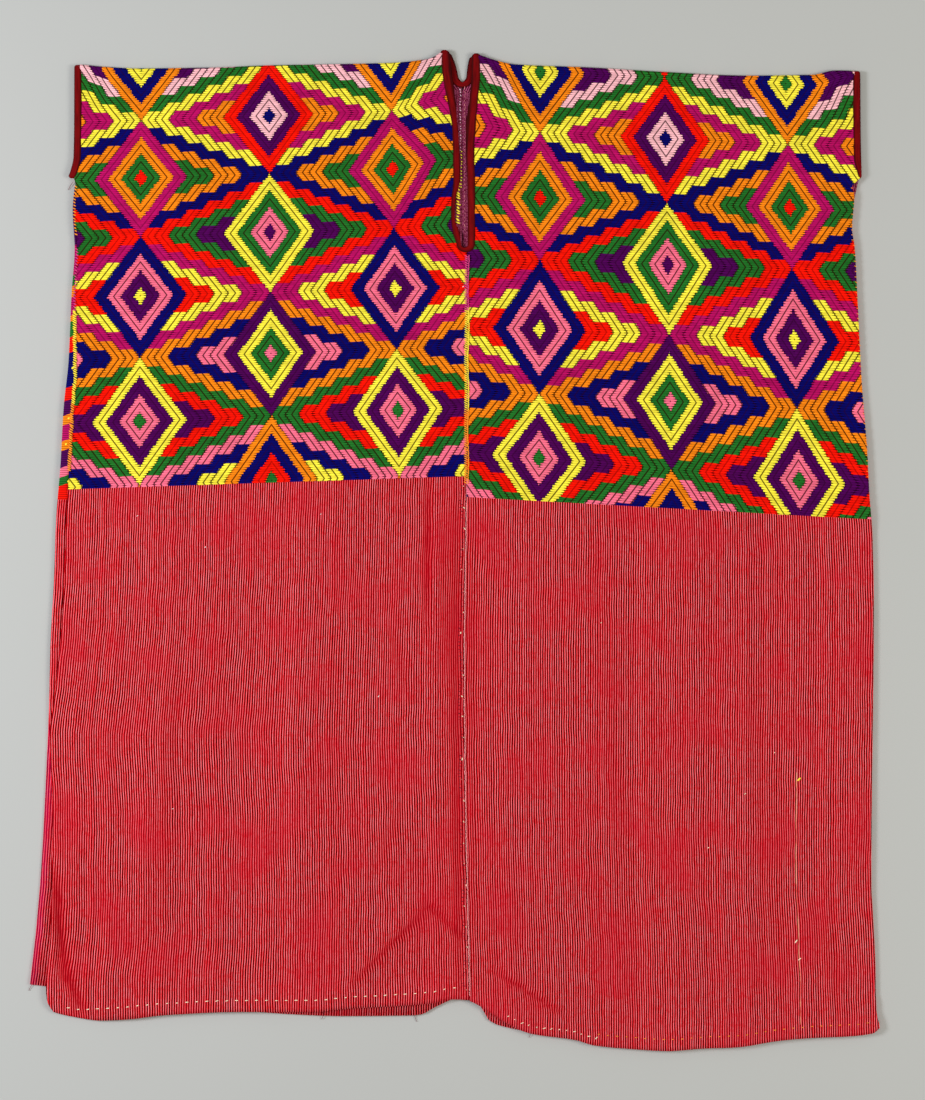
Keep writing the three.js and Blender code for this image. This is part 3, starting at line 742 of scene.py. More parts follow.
# %% Its colour, from the chart
def charted(t, at):
    """A place's yarn, whether it is in a diamond, its depth there, and its distance along a band."""
    here, there = at["here"], at["there"]
    nearest = add(t, MATH, here, there, operation="MINIMUM")
    in_diamond = add(t, MATH, nearest, 1.0, operation="LESS_THAN")
    depth = add(t, MATH, 1.0, nearest, operation="SUBTRACT")
    ring = add(t, MATH, add(t, MATH, depth, RINGS, operation="MULTIPLY"), operation="FLOOR")
    ring = add(t, MATH, ring, RING_COLOURS - 1, operation="MINIMUM")
    aside = add(t, MATH, here, DIAMOND_HALF, -DIAMOND_HALF, operation="MULTIPLY_ADD")
    step = add(t, MATH, add(t, MATH, aside, BAND_STEP, operation="DIVIDE"), operation="FLOOR")
    first = BAND_STEPS / (BAND_STEPS + 1)
    middle = add(t, MATH, step, -1 / (BAND_STEPS + 1), first, operation="MULTIPLY_ADD")
    off = apart(t, at["fy"], middle)
    band = add(t, MATH, add(t, MATH, off, RINGS, operation="MULTIPLY"), operation="FLOOR")
    band = add(t, MATH, band, BAND_COLOURS - 1, operation="MINIMUM")
    # Row of the chart: that of the diamond above, or of the one below
    over = add(t, MATH, at["fy"], middle, operation="LESS_THAN")
    upper = add(t, MATH, here, there, operation="LESS_THAN")
    upper = add(t, MIX, in_diamond, over, upper)
    chart_row = add(t, MATH, add(t, MATH, at["row"], 1.0), upper, operation="SUBTRACT")
    chart_row = add(t, MATH, chart_row, operation="ABSOLUTE")
    chart_row = add(t, MATH, chart_row, CHART_ROWS, operation="FLOORED_MODULO")
    band_place = add(t, MATH, chart_row, BAND_COLOURS, band, operation="MULTIPLY_ADD")
    ring_place = add(t, MATH, chart_row, RING_COLOURS, ring, operation="MULTIPLY_ADD")
    bands = chart(t, BANDS, add(t, MATH, band_place, 0.5))
    rings = chart(t, DIAMONDS, add(t, MATH, ring_place, 0.5))
    yarn = add(t, MIX, in_diamond, bands, rings, data_type="RGBA")
    return yarn, in_diamond, depth, aside


# %% The strips, and the dark lines between them
def strips(t, at, in_diamond, depth, aside):
    """Strips from the last edge, the distance from a dark line, and 1 in a strip beside a colour's end."""
    in_band = add(t, MATH, aside, STRIP, operation="DIVIDE")
    phase = add(t, MIX, in_diamond, in_band, add(t, MATH, depth, 2 * RINGS, operation="MULTIPLY"))
    # The dark line between two strips runs straight on through the wefts
    lower = add(t, MATH, at["there"], at["here"], operation="LESS_THAN")
    lean = add(t, MATH, lower, 4 * RINGS, -2 * RINGS, operation="MULTIPLY_ADD")
    lean = add(t, MIX, in_diamond, DIAMOND_HALF / STRIP, lean)
    straight = add(t, MATH, at["past"], lean, phase, operation="MULTIPLY_ADD")
    off_line = add(t, MATH, straight, 0.5, operation="PINGPONG")
    edge = add(t, MATH, add(t, MATH, phase, 1.0, operation="PINGPONG"), 0.5, operation="LESS_THAN")
    return phase, off_line, edge


def dark_line(t, off_line, edge, in_diamond, yarn):
    """The dark line between two strips, painted shade with a little of the ground's colour.
    It shows less inside a ring, and between strips of a deep colour.
    """
    line = add(t, "ShaderNodeMapRange", off_line, 0.09, 0.14, 1.0, 0.0)
    line = less_by(t, line, add(t, MATH, edge, in_diamond, operation="MULTIPLY"), 0.75)
    paleness = add(t, "ShaderNodeSeparateColor", yarn, out=1)
    shown = add(t, "ShaderNodeMapRange", paleness, 0.0, 0.15, 0.5, 1.0)
    return add(t, MATH, line, shown, operation="MULTIPLY")


# %% Light and dark of a single weft
def weft_shade(t, at, phase, edge, groove, place):
    """Each weft of each strip has its own shade, with painted shade in the groove and a painted highlight at
    its tip.
    """
    # At the edge of a colour, the ends of the wefts stand side by side like teeth
    off_step = add(t, MATH, phase, 0.5, operation="PINGPONG")
    teeth = add(t, "ShaderNodeMapRange", off_step, 0.2, 0.36, 1.0, 0.0)
    teeth = add(t, MATH, teeth, edge, operation="MULTIPLY")
    # Painted shade in the groove between wefts, deepest among the teeth, and a painted highlight at each tip
    groove_shade_depth = add(t, MATH, teeth, 0.76, 0.24, operation="MULTIPLY_ADD")
    dots = add(t, MATH, groove, groove_shade_depth, operation="MULTIPLY")
    tip_highlight = add(t, MATH, less_by(t, teeth, groove), 0.22, 1.0, operation="MULTIPLY_ADD")
    strip_number = add(t, MATH, phase, operation="FLOOR")
    own = add(t, "ShaderNodeCombineXYZ", strip_number, at["number"], at["column"])
    chance = add(t, "ShaderNodeTexWhiteNoise", own)
    shade = add(t, "ShaderNodeMapRange", chance, 0.0, 1.0, 0.84, 1.1)
    shade = add(t, MATH, shade, tip_highlight, operation="MULTIPLY")
    worn = add(t, "ShaderNodeTexNoise", place, named={"Scale": 26.0, "Detail": 3.0})
    worn = add(t, "ShaderNodeMapRange", worn, 0.3, 0.7, 0.92, 1.06)
    return less_by(t, add(t, MATH, shade, worn, operation="MULTIPLY"), dots)


# %% Material of the brocade
def brocade_yarn():
    """Soft matt yarn: strong even colour, broken up by its relief, by painted shade in its dark lines and
    between its wefts, and by painted highlights at the wefts' tips, with hardly a shine.
    """
    material, t = new_material("brocade_yarn")
    at = weft_place(t)
    yarn, in_diamond, depth, aside = charted(t, at)
    phase, off_line, edge = strips(t, at, in_diamond, depth, aside)
    line = dark_line(t, off_line, edge, in_diamond, yarn)
    # The groove between two wefts: it takes painted shade, and a dent in the bump
    beside = add(t, MATH, at["weft"], 0.5, operation="PINGPONG")
    groove = add(t, "ShaderNodeMapRange", beside, 0.14, 0.28, 1.0, 0.0)
    place = add(t, "ShaderNodeTexCoord", out=3)
    shade = weft_shade(t, at, phase, edge, groove, place)
    lit = add(t, "ShaderNodeVectorMath", yarn, operation="SCALE", named={"Scale": shade})
    # The dark line's colour is painted shade: the yarn's own colour darkened, mixed with a little maroon
    # ground
    ground = add(t, "ShaderNodeVectorMath", yarn, operation="SCALE", named={"Scale": 0.14})
    ground = add(t, MIX, 0.2, ground, linear("#4A0608"), data_type="RGBA")
    colour = add(t, MIX, line, lit, ground, data_type="RGBA")
    fibre = add(t, "ShaderNodeTexNoise", place, named={"Scale": 1400.0, "Detail": 2.0})
    dent = add(t, MATH, groove, -0.35, operation="MULTIPLY")
    height = add(t, MATH, off_line, 1.4, dent, operation="MULTIPLY_ADD")
    height = add(t, MATH, fibre, 0.25, height, operation="MULTIPLY_ADD")
    bump = add(t, "ShaderNodeBump", named={"Strength": 0.55, "Distance": 0.0005, "Height": height})
    shader = add(t, "ShaderNodeBsdfPrincipled", named={
        "Base Color": colour, "Roughness": 0.85, "Specular IOR Level": 0.02, "Normal": bump,
    })
    add(t, "ShaderNodeOutputMaterial", shader)
    return material


brocade = brocade_yarn()
print("brocade:", len(brocade.node_tree.nodes), "nodes")

# %% [markdown]
# ## The plain ground: warp stripes
#
# The ground is a warp-faced cotton plain weave. Red warps alternate with single pinkish-white and dark red
# ones, which gives pinstripes under 2 mm apart that follow the panel's own edges. Where the weft crosses,
# each pale thread breaks into short dashes. The stripes read the place across the loom, not the place on the
# table, so they bend with the cloth.

# %% Stripes and dashes
STRIPE_PITCH = 1.93
WEFT_PITCH = 1.05
WARP = {
    # worn is the red where a crease has rubbed the pale threads away, painted darker as shade in the crease
    "red": "#EC020C", "dusty": "#DE0A20", "spotted": "#C8000E", "worn": "#B40214", "dark": "#3C0003",
    "pale": "#FF9AA2", "selvedge": "#C00C50", "stray": "#F6C48C",
}


def pinstripes(t, across_loom, along_loom, slub):
    """Shares of the pale and of the dark warp, and the dashes that the weft makes of them."""
    stripes = add(t, MATH, across_loom, STRIPE_PITCH, operation="DIVIDE")
    number = add(t, MATH, stripes, operation="FLOOR")
    chance = add(t, "ShaderNodeTexWhiteNoise", number, noise_dimensions="1D")
    second = add(t, MATH, number, 0.37)
    strength = add(t, "ShaderNodeTexWhiteNoise", second, noise_dimensions="1D")
    strength = add(t, "ShaderNodeMapRange", strength, 0.0, 1.0, 0.75, 1.05)
    share = add(t, MATH, stripes, operation="FRACT")
    middle = add(t, "ShaderNodeMapRange", chance, 0.0, 1.0, 0.27, 0.37)
    off = add(t, MATH, share, middle, operation="SUBTRACT")
    pale = add(t, "ShaderNodeMapRange", add(t, MATH, off, operation="ABSOLUTE"), 0.07, 0.135, 1.0, 0.0)
    dark = add(t, "ShaderNodeMapRange", apart(t, off, 0.46), 0.25, 0.33, 1.0, 0.0)
    dash = add(t, MATH, add(t, MATH, along_loom, WEFT_PITCH, operation="DIVIDE"), chance)
    dash = add(t, MATH, dash, 0.5, operation="PINGPONG")
    dash = add(t, "ShaderNodeMapRange", dash, 0.0, 0.3, 0.7, 1.0)
    for share_of_pale in (strength, dash, slub):
        pale = add(t, MATH, pale, share_of_pale, operation="MULTIPLY")
    return pale, dark, dash


# %% A magenta selvedge and a stray yellow warp
SELVEDGE, SELVEDGE_FADE = 332.0, 4.5  # across the loom, the magenta warps set in before this place
STRAY_WARP = {"across": 272.2, "middle": 674.0, "half": 103.0}  # on the loom, and down from the shoulder


def odd_warps(t, colour, across_loom, along_loom, side, slub):
    """The left panel's back has a magenta selvedge, and the right panel a single stray warp."""
    magenta = add(t, "ShaderNodeMapRange", across_loom, SELVEDGE - SELVEDGE_FADE, SELVEDGE, 0.0, 0.42)
    on_left = add(t, MATH, side, 0.0, operation="LESS_THAN")
    behind = add(t, MATH, along_loom, 0.0, operation="LESS_THAN")
    for condition in (on_left, behind, slub):
        magenta = add(t, MATH, magenta, condition, operation="MULTIPLY")
    colour = add(t, MIX, magenta, colour, linear(WARP["selvedge"]), data_type="RGBA")
    stray = add(t, "ShaderNodeMapRange", apart(t, across_loom, STRAY_WARP["across"]), 0.1, 0.32, 0.62, 0.0)
    on_right = add(t, MATH, side, 0.0, operation="GREATER_THAN")
    off_middle = apart(t, along_loom, STRAY_WARP["middle"])
    reach = add(t, MATH, off_middle, STRAY_WARP["half"], operation="LESS_THAN")
    broken = add(t, "ShaderNodeMapRange", slub, 0.8, 1.0, 0.2, 1.0)
    for condition in (on_right, reach, broken):
        stray = add(t, MATH, stray, condition, operation="MULTIPLY")
    return add(t, MIX, stray, colour, linear(WARP["stray"]), data_type="RGBA")


# %% Material of the ground
def warp_striped_cotton():
    """Plain cotton: matt and dry, its colour only in its threads, with no sheen and hardly a shine."""
    material, t = new_material("warp_striped_cotton")
    thread = add(t, "ShaderNodeAttribute", attribute_name="thread", out=1)
    split = add(t, "ShaderNodeSeparateXYZ", thread)
    across_loom, along_loom, side = split, split.node.outputs[1], split.node.outputs[2]
    wander = add(t, "ShaderNodeTexNoise", thread, named={"Scale": 0.03, "Detail": 2.0})
    across_loom = add(t, MATH, wander, 2.4, across_loom, operation="MULTIPLY_ADD")
    drawn = add(t, "ShaderNodeMapping", thread, named={"Scale": (0.4, 0.08, 1.0)})
    slub = add(t, "ShaderNodeTexNoise", drawn, named={"Scale": 1.0, "Detail": 3.0})
    slub = add(t, "ShaderNodeMapRange", slub, 0.35, 0.65, 0.55, 1.25)
    pale, dark, dash = pinstripes(t, across_loom, along_loom, slub)
    # Dusty patches, small spots and worn creases, where the pale and the dark threads are rubbed away;
    # in the worn creases the red is also painted darker, as painted shade
    patch = add(t, "ShaderNodeTexNoise", thread, named={"Scale": 0.02, "Detail": 4.0})
    patch = add(t, "ShaderNodeMapRange", patch, 0.47, 0.66, 0.0, 1.0)
    spots = add(t, "ShaderNodeTexNoise", thread, named={"Scale": 0.34, "Detail": 3.0})
    spots = add(t, "ShaderNodeMapRange", spots, 0.5, 0.66, 0.0, 0.5)
    figure = add(t, "ShaderNodeAttribute", attribute_name="figure", out=1)
    worn = add(t, "ShaderNodeSeparateXYZ", figure).node.outputs[2]
    worn = add(t, MATH, worn, slub, operation="MULTIPLY", use_clamp=True)
    colour = linear(WARP["red"])
    for share_of_place, rubbed, pale_loss, dark_loss in (
            (patch, "dusty", 0.45, 0.25), (spots, "spotted", 1.0, 0.4), (worn, "worn", 0.9, 0.5)):
        pale = less_by(t, pale, share_of_place, pale_loss)
        dark = less_by(t, dark, share_of_place, dark_loss)
        colour = add(t, MIX, share_of_place, colour, linear(WARP[rubbed]), data_type="RGBA")
    for share_of_thread, warp in ((dark, "dark"), (pale, "pale")):
        colour = add(t, MIX, share_of_thread, colour, linear(WARP[warp]), data_type="RGBA")
    colour = odd_warps(t, colour, across_loom, along_loom, side, slub)
    height = add(t, MATH, pale, dash)
    bump = add(t, "ShaderNodeBump", named={"Strength": 0.35, "Distance": 0.0003, "Height": height})
    shader = add(t, "ShaderNodeBsdfPrincipled", named={
        "Base Color": colour, "Roughness": 0.88, "Specular IOR Level": 0.02, "Normal": bump,
    })
    add(t, "ShaderNodeOutputMaterial", shader)
    return material


# %% Material of the brocade's reverse
def brocade_reverse():
    """Inside, the pattern wefts are caught between the layers of the ground: a muted ribbed rose."""
    material, t = new_material("brocade_reverse")
    thread = add(t, "ShaderNodeAttribute", attribute_name="thread", out=1)
    split = add(t, "ShaderNodeSeparateXYZ", thread)
    ribs = add(t, MATH, add(t, MATH, split, 1.7, operation="DIVIDE"), 0.5, operation="PINGPONG")
    rib = add(t, "ShaderNodeMapRange", ribs, 0.12, 0.4, 0.0, 1.0)
    speck = add(t, "ShaderNodeTexNoise", thread, named={"Scale": 0.8, "Detail": 3.0})
    speck = add(t, "ShaderNodeMapRange", speck, 0.35, 0.65, 0.0, 1.0)
    rose = add(t, MIX, speck, linear("#7C1438"), linear("#D06088"), data_type="RGBA")
    colour = add(t, MIX, rib, linear("#34020E"), rose, data_type="RGBA")
    bump = add(t, "ShaderNodeBump", named={"Strength": 0.5, "Distance": 0.0004, "Height": rib})
    shader = add(t, "ShaderNodeBsdfPrincipled", named={
        "Base Color": colour, "Roughness": 0.9, "Specular IOR Level": 0.05, "Normal": bump,
    })
    add(t, "ShaderNodeOutputMaterial", shader)
    return material


plain = warp_striped_cotton()
reverse = brocade_reverse()

# %% Both panels
FRONT_BROCADE = {"left": 200, "right": 208}
left_panel = wall_mesh("left_cloth", LEFT, FRONT_BROCADE["left"], [brocade, plain, reverse])
right_panel = wall_mesh("right_cloth", RIGHT, FRONT_BROCADE["right"], [brocade, plain, reverse])
print("panels:", [len(piece.data.polygons) for piece in (left_panel, right_panel)], "faces")

# %% [markdown]
# ## Velvet ribbon
#
# A narrow ribbon is folded over the cloth's edge and sewn down on both sides. Its section is a flat, rounded
# clasp with a notch that holds the cloth. A curve with a bevel could sweep it, but the ribbon turns over the
# shoulders and under the arms, so it is swept through stations, each with its two edges and the way its face
# looks.

# %% Section and stations of the ribbon
RIBBON_SECTION = table("share shift up", [  # share of the width, then millimetres
    (0, 1.4, 0.3), (0, 0.1, 0.55), (0, -0.3, 0.75), (0, 0.1, 1.0), (0.2, 0, 1.12), (0.4, 0, 1.08),
    (0.6, 0, 1.1), (0.8, 0, 1.05), (0.94, 0, 0.75), (1, 0, 0.3), (1, 0, -0.3), (0.94, 0, -0.75),
    (0.8, 0, -1.05), (0.5, 0, -1.1), (0.2, 0, -1.1), (0, 0.1, -1.0), (0, -0.3, -0.75), (0, 0.1, -0.55),
    (0, 1.4, -0.3),
])
STATION_STEP = 2.5
TURN_RADIUS = (RIBBON_MIDDLE["front"] - RIBBON_MIDDLE["back"]) / 2
RIBBON_HALF = 1.1


def stations(near, far, y_near, y_far, z, face):
    """Rows of near edge, far edge and facing direction, for arrays of places."""
    shape = np.broadcast(near, y_near, z).shape
    spread = lambda *parts: np.stack([np.broadcast_to(part, shape) for part in parts], axis=-1)
    return np.concatenate([spread(near, y_near, z), spread(far, y_far, z), spread(*face)], axis=-1)


def turn_over(near, far, apex, way, pinch=0.1):
    """The ribbon's half turn from the front to the back; way is 1 at the shoulder, -1 under the arm.
    Its edges draw together at the turn by the pinch, a share of the width."""
    turn = np.linspace(0, np.pi, 12)[1:-1]
    drawn = pinch * np.sin(turn) ** 2
    near, far = lerp(near, far, 0.6 * drawn), lerp(far, near, drawn)
    centre = apex - way * (TURN_RADIUS + RIBBON_HALF)
    y = centre + way * TURN_RADIUS * np.sin(turn)
    z = RIBBON_MIDDLE["back"] + TURN_RADIUS + TURN_RADIUS * np.cos(turn)
    return stations(near, far, y, y, z, (0 * turn, way * np.sin(turn), np.cos(turn)))


def straight_run(near, far, y, layer):
    up = 1.0 if layer == "front" else -1.0
    return stations(near, far, y, y, RIBBON_MIDDLE[layer] + 0 * y, (0 * y, 0 * y, up + 0 * y))


SLIT_POINT = {"front": 1.0, "back": 1.7}  # 1 gives the opening a round end, 2 a pointed one


def slit_bottom(layer, count=18):
    """Round the slit's end, from the left side to the right."""
    bend = lambda wave: np.sign(wave) * np.abs(wave) ** SLIT_POINT[layer]
    rows, end = SLIT[layer], SLIT_END[layer]
    left, right, inner_left, inner_right = (
        through(rows, "y", name, end["y"]) for name in ("left", "right", "gap_left", "gap_right"))
    turn = np.pi + np.pi * np.arange(1, count) / count
    near = (left + right) / 2 + (right - left) / 2 * np.cos(turn)
    far = (inner_left + inner_right) / 2 + (inner_right - inner_left) / 2 * bend(np.cos(turn))
    up = 1.0 if layer == "front" else -1.0
    y_near = end["y"] + end["outer"] * np.sin(turn)
    y_far = end["y"] + end["inner"] * bend(np.sin(turn))
    face = (0 * turn, 0 * turn, up + 0 * turn)
    return stations(near, far, y_near, y_far, RIBBON_MIDDLE[layer] + 0 * turn, face)


def heights_down(top, bottom):
    return np.linspace(top, bottom, int(round((top - bottom) / STATION_STEP)) + 1)


def neck_stations():
    def edges(panel, layer, y):
        return [through(SLIT[layer], "y", panel[name], y) for name in ("slit", "gap")]

    def leg(panel, layer):
        y = heights_down(panel["ear"] - 4, SLIT_END[layer]["y"])
        return straight_run(*edges(panel, layer, y), y, layer)

    def fold(panel):
        return turn_over(*edges(panel, "front", panel["ear"]), panel["ear"], 1, 0.34)

    return np.concatenate([
        leg(LEFT, "front"), slit_bottom("front"), leg(RIGHT, "front")[::-1], fold(RIGHT),
        leg(RIGHT, "back"), slit_bottom("back")[::-1], leg(LEFT, "back")[::-1], fold(LEFT)[::-1],
    ])


def armhole_stations(panel):
    top, bottom = panel["armhole"]["y"].max(), UNDERARM["binding"]
    outer = lambda y: through(panel["armhole"], "y", "x", y)
    inner = lambda y: outer(y) - panel["side"] * binding_width(panel, y)
    y = heights_down(top - 4, bottom + 4)
    turn = lambda place, way: turn_over(inner(place), outer(place), place, way)
    return np.concatenate([
        turn(top, 1)[::-1], straight_run(inner(y), outer(y), y, "front"), turn(bottom, -1),
        straight_run(inner(y), outer(y), y, "back")[::-1],
    ])


# %% Sweeping the section
def tube_faces(count, ring, closed):
    """Faces round a swept section; a closed sweep joins its last ring to its first."""
    i, k = np.meshgrid(np.arange(count if closed else count - 1), np.arange(ring), indexing="ij")
    j, l = (i + 1) % count, (k + 1) % ring
    return np.stack([i * ring + k, i * ring + l, j * ring + l, j * ring + k], axis=-1).reshape(-1, 4)


def ribbon_piece(name, places, material):
    near, far, face = places[:, :3], places[:, 3:6], places[:, 6:]
    width = np.linalg.norm(far - near, axis=1, keepdims=True)
    along = np.concatenate([[0], np.cumsum(np.linalg.norm(np.diff((near + far) / 2, axis=0), axis=1))])
    aside = (far - near) / width
    # A hand-sewn edge wavers by a tenth of a millimetre or two
    waver = 0.12 * np.sin(along / 7.3) + 0.09 * np.sin(along / 3.1 + 1)
    swell = 1 + 0.05 * np.sin(along / 11.7) + 0.04 * np.sin(along / 4.9 + 2)
    share, shift, up = (RIBBON_SECTION[key][None, :, None] for key in ("share", "shift", "up"))
    offset = share * width[:, None] + shift + waver[:, None, None] * (1 - share)
    points = near[:, None] + aside[:, None] * offset + face[:, None] * up * swell[:, None, None]
    count, ring = points.shape[:2]
    faces = tube_faces(count, ring, True).tolist()
    place = np.zeros((count, ring, 3))
    place[..., 0] = along[:, None]
    place[..., 1] = offset[..., 0] * np.sign(up[..., 0])
    piece = make_piece(name, points.reshape(-1, 3), faces, {"ribbon": place.reshape(-1, 3)}, [material])
    print(name, "is", round(along[-1]), "mm long")
    return piece


BINDING_MIDDLE = 2.9  # from the ribbon's edge on the cloth to the middle of its face


def cotton_velvet():
    """A short upright pile: deep and matt from above, with a faint red sheen where it turns away.
    Painted shade darkens both edges, where the pile leans away.
    """
    material, t = new_material("cotton_velvet")
    ribbon = add(t, "ShaderNodeAttribute", attribute_name="ribbon", out=1)
    brushed = add(t, "ShaderNodeMapping", ribbon, named={"Scale": (0.06, 0.5, 1.0)})
    nap = add(t, "ShaderNodeTexNoise", brushed, named={"Scale": 1.0, "Detail": 4.0})
    nap = add(t, "ShaderNodeMapRange", nap, 0.3, 0.7, 0.0, 1.0)
    colour = add(t, MIX, nap, linear("#560002"), linear("#7E0305"), data_type="RGBA")
    # Painted shade: the ribbon is darker at both edges, where its pile leans away
    offset = add(t, "ShaderNodeSeparateXYZ", ribbon).node.outputs[1]
    off_middle = apart(t, add(t, MATH, offset, operation="ABSOLUTE"), BINDING_MIDDLE)
    shade = add(t, "ShaderNodeMapRange", off_middle, 1.4, BINDING_MIDDLE, 1.0, 0.3)
    colour = add(t, "ShaderNodeVectorMath", colour, operation="SCALE", named={"Scale": shade})
    pile = add(t, "ShaderNodeTexNoise", ribbon, named={"Scale": 4.0, "Detail": 2.0})
    bump = add(t, "ShaderNodeBump", named={"Strength": 0.4, "Distance": 0.0003, "Height": pile})
    shader = add(t, "ShaderNodeBsdfPrincipled", named={
        "Base Color": colour, "Roughness": 0.7, "Specular IOR Level": 0.06, "Sheen Weight": 0.06,
        "Sheen Roughness": 0.35, "Sheen Tint": linear("#E02828"), "Normal": bump,
    })
    add(t, "ShaderNodeOutputMaterial", shader)
    return material


velvet = cotton_velvet()
neck = ribbon_piece("neck_ribbon", neck_stations(), velvet)
left_armhole = ribbon_piece("left_armhole_ribbon", armhole_stations(LEFT), velvet)
right_armhole = ribbon_piece("right_armhole_ribbon", armhole_stations(RIGHT), velvet)

# %% [markdown]
# ## The back's edge, turned onto the front
#
# On the left the back is a little wider than the front, so a strip of it comes round the side and lies
# beside the front's edge. The strip shows the back's own rows of brocade. They can't be read from the front's
# chart, so its colours are listed from the top down, each with the height at which it ends. The first three,
# purple, magenta and green, are dark yarn put under the overcast as painted shade.

# %% Colours of the turned strip
TURN_TOP, TURN_BROCADE_END = 297.0, 43.0
TURN_LEAN = 0.35  # how far a row slants across the strip
ROW_HEIGHT = 50  # about the height of one row of diamonds
TURN_ROWS = [  # colour, and how far down it reaches
    # The top three, purple, magenta and green, are dark yarn painted as the shade under the overcast stitches
    ("purple", 250), ("magenta", 225), ("green", 216), ("orange", 207), ("magenta", 192), ("orange", 187),
    ("green", 174), ("red", 162), ("blue", 133), ("red", 122), ("purple", 110), ("orange", 102),
    ("magenta", 89), ("orange", 81), ("purple", 67), ("pink", 59), ("green", 52), ("red", 43),
]


def turned_brocade():
    """The same matt yarn, in plain rows: only its wefts show, side by side, with painted shade between them.
    """
    material, t = new_material("turned_brocade")
    figure = add(t, "ShaderNodeAttribute", attribute_name="figure", out=1)
    split = add(t, "ShaderNodeSeparateXYZ", figure)
    weft = add(t, MATH, split, ROW_WEFTS / ROW_HEIGHT, operation="MULTIPLY")
    drop = add(t, MATH, split.node.outputs[1], TURN_LEAN, split, operation="MULTIPLY_ADD")
    length = TURN_TOP - TURN_BROCADE_END
    starts = [0.0] + [(TURN_TOP - bottom) / length for _, bottom in TURN_ROWS]
    share = add(t, MATH, drop, length, operation="DIVIDE")
    yarn = yarn_ramp(t, share, starts, [name for name, _ in TURN_ROWS])
    # Painted shade darkens the groove between two wefts
    groove = add(t, MATH, weft, 0.5, operation="PINGPONG")
    shade = add(t, "ShaderNodeMapRange", groove, 0.08, 0.26, 0.35, 1.0)
    colour = add(t, "ShaderNodeVectorMath", yarn, operation="SCALE", named={"Scale": shade})
    bump = add(t, "ShaderNodeBump", named={"Strength": 0.5, "Distance": 0.0005, "Height": shade})
    shader = add(t, "ShaderNodeBsdfPrincipled", named={
        "Base Color": colour, "Roughness": 0.85, "Specular IOR Level": 0.05, "Normal": bump})
    add(t, "ShaderNodeOutputMaterial", shader)
    return material


# %% Shape of the turned strip
TURN_SECTION = table("share shift up", [  # share of the width, millimetres outward, share of the height
    (0, 0.1, 0.06), (0, 0.7, 0.35), (0, 0.6, 0.72), (0, -0.1, 0.93), (0.3, 0, 1), (0.7, 0, 1),
    (1, 0.3, 0.95), (1, 0.1, 0.75), (1, 0.2, 0.55), (0.5, 0, 0.5), (0.1, 0, 0.48),
])
TURN_COUNT = 180


def face_height(panel, x, y):
    """Height of the front layer's face, below the shoulder."""
    under = front_underside(panel, x, y, panel["ear"] - y)
    return under + wall(panel, "front", x, y) - SEAM_DIP * sewn_share(panel, "front", x, y)


def turned_strip(name, materials):
    y = np.linspace(TURN_TOP, SIDE_TURN["y"].min() + 2, TURN_COUNT)
    width = np.maximum(through(SIDE_TURN, "y", "width", y), 0.3)
    edge = through(LEFT["edge"], "y", "front", y)
    top = face_height(LEFT, edge + width, y) + 0.45 * np.minimum(width / 4, 1)
    waver = 0.25 * np.sin(y / 5.3) + 0.15 * np.sin(y / 2.1)
    share, shift, up = (TURN_SECTION[key][None, :] for key in ("share", "shift", "up"))
    x = edge[:, None] + share * (width + waver)[:, None] - shift
    points = np.stack([x, np.broadcast_to(y[:, None], x.shape), up * top[:, None]], axis=-1)
    ring = x.shape[1]
    faces = tube_faces(TURN_COUNT, ring, False).tolist()
    caps = [list(range(ring))[::-1], list(range((TURN_COUNT - 1) * ring, TURN_COUNT * ring))]
    down = np.broadcast_to(TURN_TOP - y[:, None], x.shape)
    inward = x - edge[:, None]
    blank = np.zeros_like(x)
    attributes = {
        "figure": np.stack([down, inward, blank], axis=-1).reshape(-1, 3),
        "thread": np.stack([PANEL_WIDTH + inward, down, blank + LEFT["side"]], axis=-1).reshape(-1, 3),
    }
    brocaded = np.repeat(y[:-1], ring) > TURN_BROCADE_END
    kinds = [*np.where(brocaded, 0, 1), 0, 1]
    flat = range(len(faces), len(faces) + len(caps))
    return make_piece(name, points.reshape(-1, 3), [*faces, *caps], attributes, materials, kinds, flat)


turned_edge = turned_strip("turned_edge", [turned_brocade(), plain])

# %% [markdown]
# ## Sewing
#
# The panels are sewn with coloured cotton, and the thread shows: a close herringbone covers the middle seam,
# a slanting overcast runs down the side, and small running stitches hold the hem. Each could be modelled by
# hand, but there are hundreds, so one Geometry Nodes tree sets a rounded stitch at even distances along a
# line, turns it to the line, slants it, and lets it stray a little. A real seam is uneven, and even stitches
# would look machine-made.

# %% The stitch tree
STITCH_INPUTS = [
    ("Spacing", "Float"), ("Length", "Float"), ("Thickness", "Float"), ("Slant", "Float"),
    ("Unevenness", "Float"), ("Seed", "Int"), ("Thread", "Material"),
]


